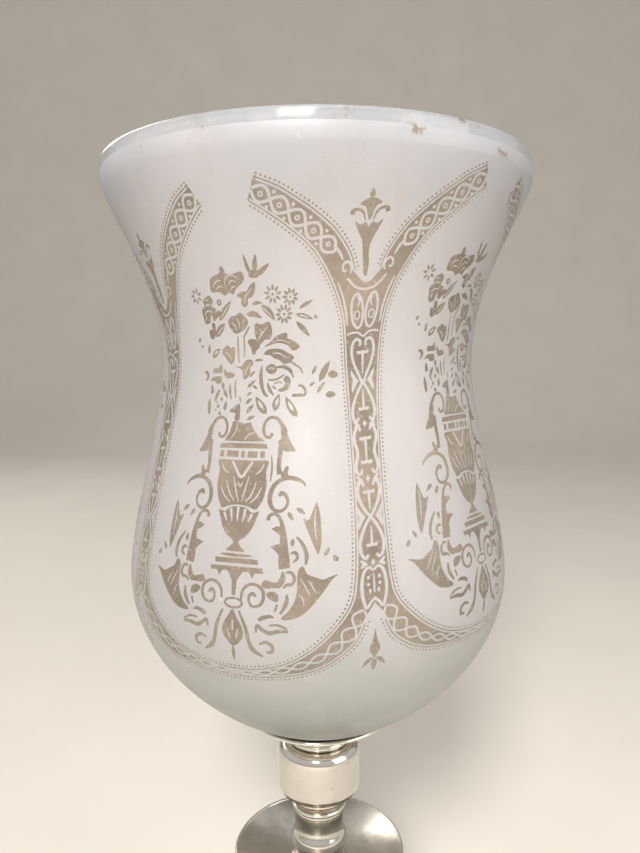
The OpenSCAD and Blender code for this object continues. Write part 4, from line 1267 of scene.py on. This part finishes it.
class CANDLEHOLDER_OT_stage(bpy.types.Operator):
    """Make the floor, the backdrop, the lamps and the camera"""

    bl_idname = "candleholder.stage"
    bl_label = "Stage"

    def execute(self, context):
        look = context.scene.candleholder_stage
        paper = stage_paint("stage_paper", look.floor)
        # Floor that curves up into a wall behind: a profile carried sideways
        bend = arc((1.3, 0.7), 0.7, -90, 0, 16)
        profile = np.vstack([[[-2.6, 0], [0.6, 0]], bend, [[2.0, 2.6]]])
        lines = 9
        x = np.linspace(-3.2, 3.2, lines)
        grid = np.empty((len(profile), lines, 3))
        grid[..., 0], grid[..., 1:] = x, profile[:, None, :]
        i, j = np.arange(len(profile) - 1)[:, None], np.arange(lines - 1)[None, :]
        quads = i * lines + j
        quads = np.stack([quads, quads + 1, quads + lines + 1, quads + lines], 2).reshape(-1, 4)
        mesh = bpy.data.meshes.new("sweep")
        mesh.from_pydata(grid.reshape(-1, 3).tolist(), [], quads.tolist())
        mesh.polygons.foreach_set("use_smooth", np.ones(len(quads), bool))
        mesh.materials.append(paper)
        sweep = bpy.data.objects.new("sweep", mesh)
        context.scene.collection.objects.link(sweep)
        for name, place, aim, size, power in (
                ("key_lamp", (-0.10, -0.62, 0.62), (0, 0, 0.22), (0.16, 0.22), look.key),
                ("fill_lamp", (0.95, -0.55, 0.55), (0, 0, 0.18), (0.7, 0.9), look.fill),
                ("back_lamp", (-0.7, 0.75, 0.9), (0, 0, 0.2), (0.6, 0.6), look.fill * 0.8)):
            lamp = bpy.data.lights.new(name, "AREA")
            lamp.shape = "RECTANGLE"
            lamp.size, lamp.size_y = size
            lamp.energy = power
            lamp.color = LAMP_COLOUR
            holder = bpy.data.objects.new(name, lamp)
            holder.location = place
            holder.rotation_euler = (Vector(aim) - Vector(place)).to_track_quat("-Z", "Y").to_euler()
            context.scene.collection.objects.link(holder)
        world = bpy.data.worlds.new("studio")
        world.use_nodes = True
        tree = world.node_tree
        tree.nodes.clear()
        path = tree.nodes.new("ShaderNodeLightPath")
        seen = path.outputs["Is Camera Ray"]
        for kind in ("Is Glossy Ray", "Is Transmission Ray"):
            joined = tree.nodes.new("ShaderNodeMath")
            joined.operation = "ADD"
            joined.use_clamp = True
            tree.links.new(seen, joined.inputs[0])
            tree.links.new(path.outputs[kind], joined.inputs[1])
            seen = joined.outputs[0]
        strength = tree.nodes.new("ShaderNodeMapRange")
        strength.inputs["To Min"].default_value = look.sky
        strength.inputs["To Max"].default_value = 0.72
        tree.links.new(seen, strength.inputs["Value"])
        light = tree.nodes.new("ShaderNodeBackground")
        light.inputs["Color"].default_value = (0.97, 0.95, 0.92, 1)
        tree.links.new(strength.outputs["Result"], light.inputs["Strength"])
        out = tree.nodes.new("ShaderNodeOutputWorld")
        tree.links.new(light.outputs[0], out.inputs["Surface"])
        context.scene.world = world
        camera = bpy.data.cameras.new("camera")
        camera.sensor_width = 36
        camera.lens = look.focal
        camera.clip_start = 0.01
        holder = bpy.data.objects.new("camera", camera)
        turn = Matrix.Rotation(np.radians(90 - look.pitch), 4,
            "X") @ Matrix.Rotation(np.radians(-0.2), 4, "Z")
        holder.matrix_world = Matrix.Translation((0.00075, -0.2216, 0.2324)) @ turn
        context.scene.collection.objects.link(holder)
        context.scene.camera = holder
        context.scene.view_settings.view_transform = "Standard"
        return {"FINISHED"}


class CANDLEHOLDER_OT_glass(bpy.types.Operator):
    """Make the etched glass shade"""

    bl_idname = "candleholder.glass"
    bl_label = "Glass shade"

    def execute(self, context):
        look = context.scene.candleholder_shade
        mesh = shade_mesh(look)
        new_piece("etched_glass_shade", mesh, "shade", ["glass_shade"],
                  [frosted_glass(look), clear_pattern(look), polished_lip(look)])
        return {"FINISHED"}


class CANDLEHOLDER_OT_stem(bpy.types.Operator):
    """Make the plated pieces: tray, beads, knop, collar, balusters, rings, pan and foot"""

    bl_idname = "candleholder.stem"
    bl_label = "Stem, tray, pan and foot"

    def execute(self, context):
        look = context.scene.candleholder_metal
        bright = plated("bright_plate", look)
        soft = plated("worn_plate", look, 0.05)
        for node, outline in stem_outlines().items():
            mesh = turned_mesh("turned_" + node, outline, foot_of(node), look.segments, look.softness / MM)
            new_piece("turned_" + node, mesh, "holder", [node],
                [soft if node in ("drip_pan", "foot_shell") else bright])
        mesh = turned_mesh("turned_candle_cup", cup_outline(), foot_of("candle_cup"), look.segments,
            look.softness / MM)
        new_piece("turned_candle_cup", mesh, "holder", ["candle_cup"], [soft])
        return {"FINISHED"}


class CANDLEHOLDER_OT_fixings(bpy.types.Operator):
    """Make the threaded rod, the nut and the two washers"""

    bl_idname = "candleholder.fixings"
    bl_label = "Rod, nut and washers"

    def execute(self, context):
        look = context.scene.candleholder_metal
        steel = bare_metal("rod_steel", look.steel, (0.20, 0.18, 0.16), 0.26)
        zinc = bare_metal("washer_steel", [c * 1.15 for c in look.steel], (0.30, 0.29, 0.28), 0.3)
        brass = bare_metal("nut_brass", look.brass, (0.35, 0.22, 0.09), 0.24)
        low, high = foot_of("tie_rod"), top_of("tie_rod")
        span = high - low
        side = np.concatenate([np.arange(0, 15, 0.125), np.arange(15, span - 7, 4),
            np.arange(span - 7, span, 0.125), [span]])
        outline = np.vstack([[[0, 0], [2.5, 0]], np.stack([np.full(len(side), 3.0), side], 1),
            [[2.5, span], [0, span]]])
        mesh = turned_mesh("threaded_rod", outline, low, 48, 0.0, threaded)
        new_piece("threaded_rod", mesh, "holder", ["tie_rod"], [steel])
        heights = np.linspace(0, 5, 21)
        outline = np.vstack([[[3, 0]], np.stack([np.full(21, 5.6), heights], 1), [[3, 5]]])
        mesh = turned_mesh("hexagon_nut", outline, foot_of("tie_nut"), 120, 0.1, hexed)
        new_piece("hexagon_nut", mesh, "holder", ["tie_nut"], [brass])
        washer_r = reach_of("flat_washer")
        thick = top_of("flat_washer") - foot_of("flat_washer")
        outline = [(HOLE_R, 0), (washer_r, 0), (washer_r, thick), (HOLE_R, thick)]
        mesh = turned_mesh("plain_washer", outline, foot_of("flat_washer"), 96, 0.15)
        new_piece("plain_washer", mesh, "holder", ["flat_washer"], [zinc])
        mesh = split_ring_mesh("spring_washer", foot_of("split_washer"), HOLE_R, washer_r, 1.5, 1.0)
        new_piece("spring_washer", mesh, "holder", ["split_washer"], [zinc])
        return {"FINISHED"}


class CANDLEHOLDER_OT_soft(bpy.types.Operator):
    """Make the washer under the shade, the felt and the cast weight"""

    bl_idname = "candleholder.soft"
    bl_label = "Washer, felt and weight"

    def execute(self, context):
        look = context.scene.candleholder_soft
        mesh = turned_mesh("rubber_washer", [(14.8, 0), (17.6, 0), (17.6, 1), (14.8, 1)],
            foot_of("shade_gasket"), 128, 0.2)
        new_piece("rubber_washer", mesh, "holder", ["shade_gasket"], [ring_rubber(look)])
        felt_r = reach_of("felt_pad")

        def nap(r, h, a):
            edge = r > felt_r - 0.8
            fuzz = 0.12 * np.sin(a * 53 + 1.3) * np.sin(a * 31) + 0.08 * np.sin(a * 97 + h * 3)
            return np.where(edge, r - 0.15 + fuzz * 0.7, r), h
        outline = [(0, 0), (15, 0), (30, 0), (felt_r - 0.3, 0), (felt_r, 0.4), (felt_r, 1.1),
            (felt_r - 0.3, 1.5), (30, 1.5), (15, 1.5), (0, 1.5)]
        mesh = turned_mesh("felt_disc", outline, foot_of("felt_pad"), 256, 0.0, nap)
        new_piece("felt_disc", mesh, "holder", ["felt_pad"], [felt_cloth(look)])
        foot_r = reach_of("foot_shell")
        dome = cubic([(10.25, 22.5), (13.25, 7.5), (foot_r - 19, 10.5), (foot_r - 5, 4.5)], 40, 1.5)
        dome = dome[dome[:, 1] < 20.3]
        outline = np.vstack([[[3.25, 10.3], [3.25, 21.3]], dome, [[foot_r - 5, 1.5], [foot_r - 1.5, 1.5],
            [foot_r - 1.5, 0], [8, 0], [8, 10.3]]])
        mesh = turned_mesh("cast_weight", outline, foot_of("foot_weight"), 128, 0.3)
        new_piece("cast_weight", mesh, "holder", ["foot_weight"], [cast_iron(look)])
        return {"FINISHED"}


class CANDLEHOLDER_PT_panel(bpy.types.Panel):
    """Lists the pieces, their sizes and their colours"""

    bl_label = "Candle holder"
    bl_idname = "CANDLEHOLDER_PT_panel"
    bl_space_type = "VIEW_3D"
    bl_region_type = "UI"
    bl_category = "Candle holder"

    def draw(self, context):
        for group, settings in SETTINGS.items():
            box = self.layout.box()
            holder = getattr(context.scene, group)
            for name in settings.__annotations__:
                box.prop(holder, name)
        for operator in OPERATORS:
            self.layout.operator(operator.bl_idname)


SETTINGS = {
    "candleholder_shade": ShadeSettings,
    "candleholder_metal": MetalSettings,
    "candleholder_soft": SoftSettings,
    "candleholder_stage": StageSettings,
}
OPERATORS = (CANDLEHOLDER_OT_stage, CANDLEHOLDER_OT_glass, CANDLEHOLDER_OT_stem, CANDLEHOLDER_OT_fixings,
    CANDLEHOLDER_OT_soft)
CLASSES = (*SETTINGS.values(), *OPERATORS, CANDLEHOLDER_PT_panel)


def register():
    for cls in CLASSES:
        bpy.utils.register_class(cls)
    for group, settings in SETTINGS.items():
        setattr(bpy.types.Scene, group, PointerProperty(type=settings))


def unregister():
    for group in SETTINGS:
        delattr(bpy.types.Scene, group)
    for cls in reversed(CLASSES):
        bpy.utils.unregister_class(cls)


def main():
    """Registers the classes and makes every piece."""
    register()
    bpy.ops.candleholder.stage()
    bpy.ops.candleholder.glass()
    bpy.ops.candleholder.stem()
    bpy.ops.candleholder.fixings()
    bpy.ops.candleholder.soft()


if __name__ == "__main__":
    main()
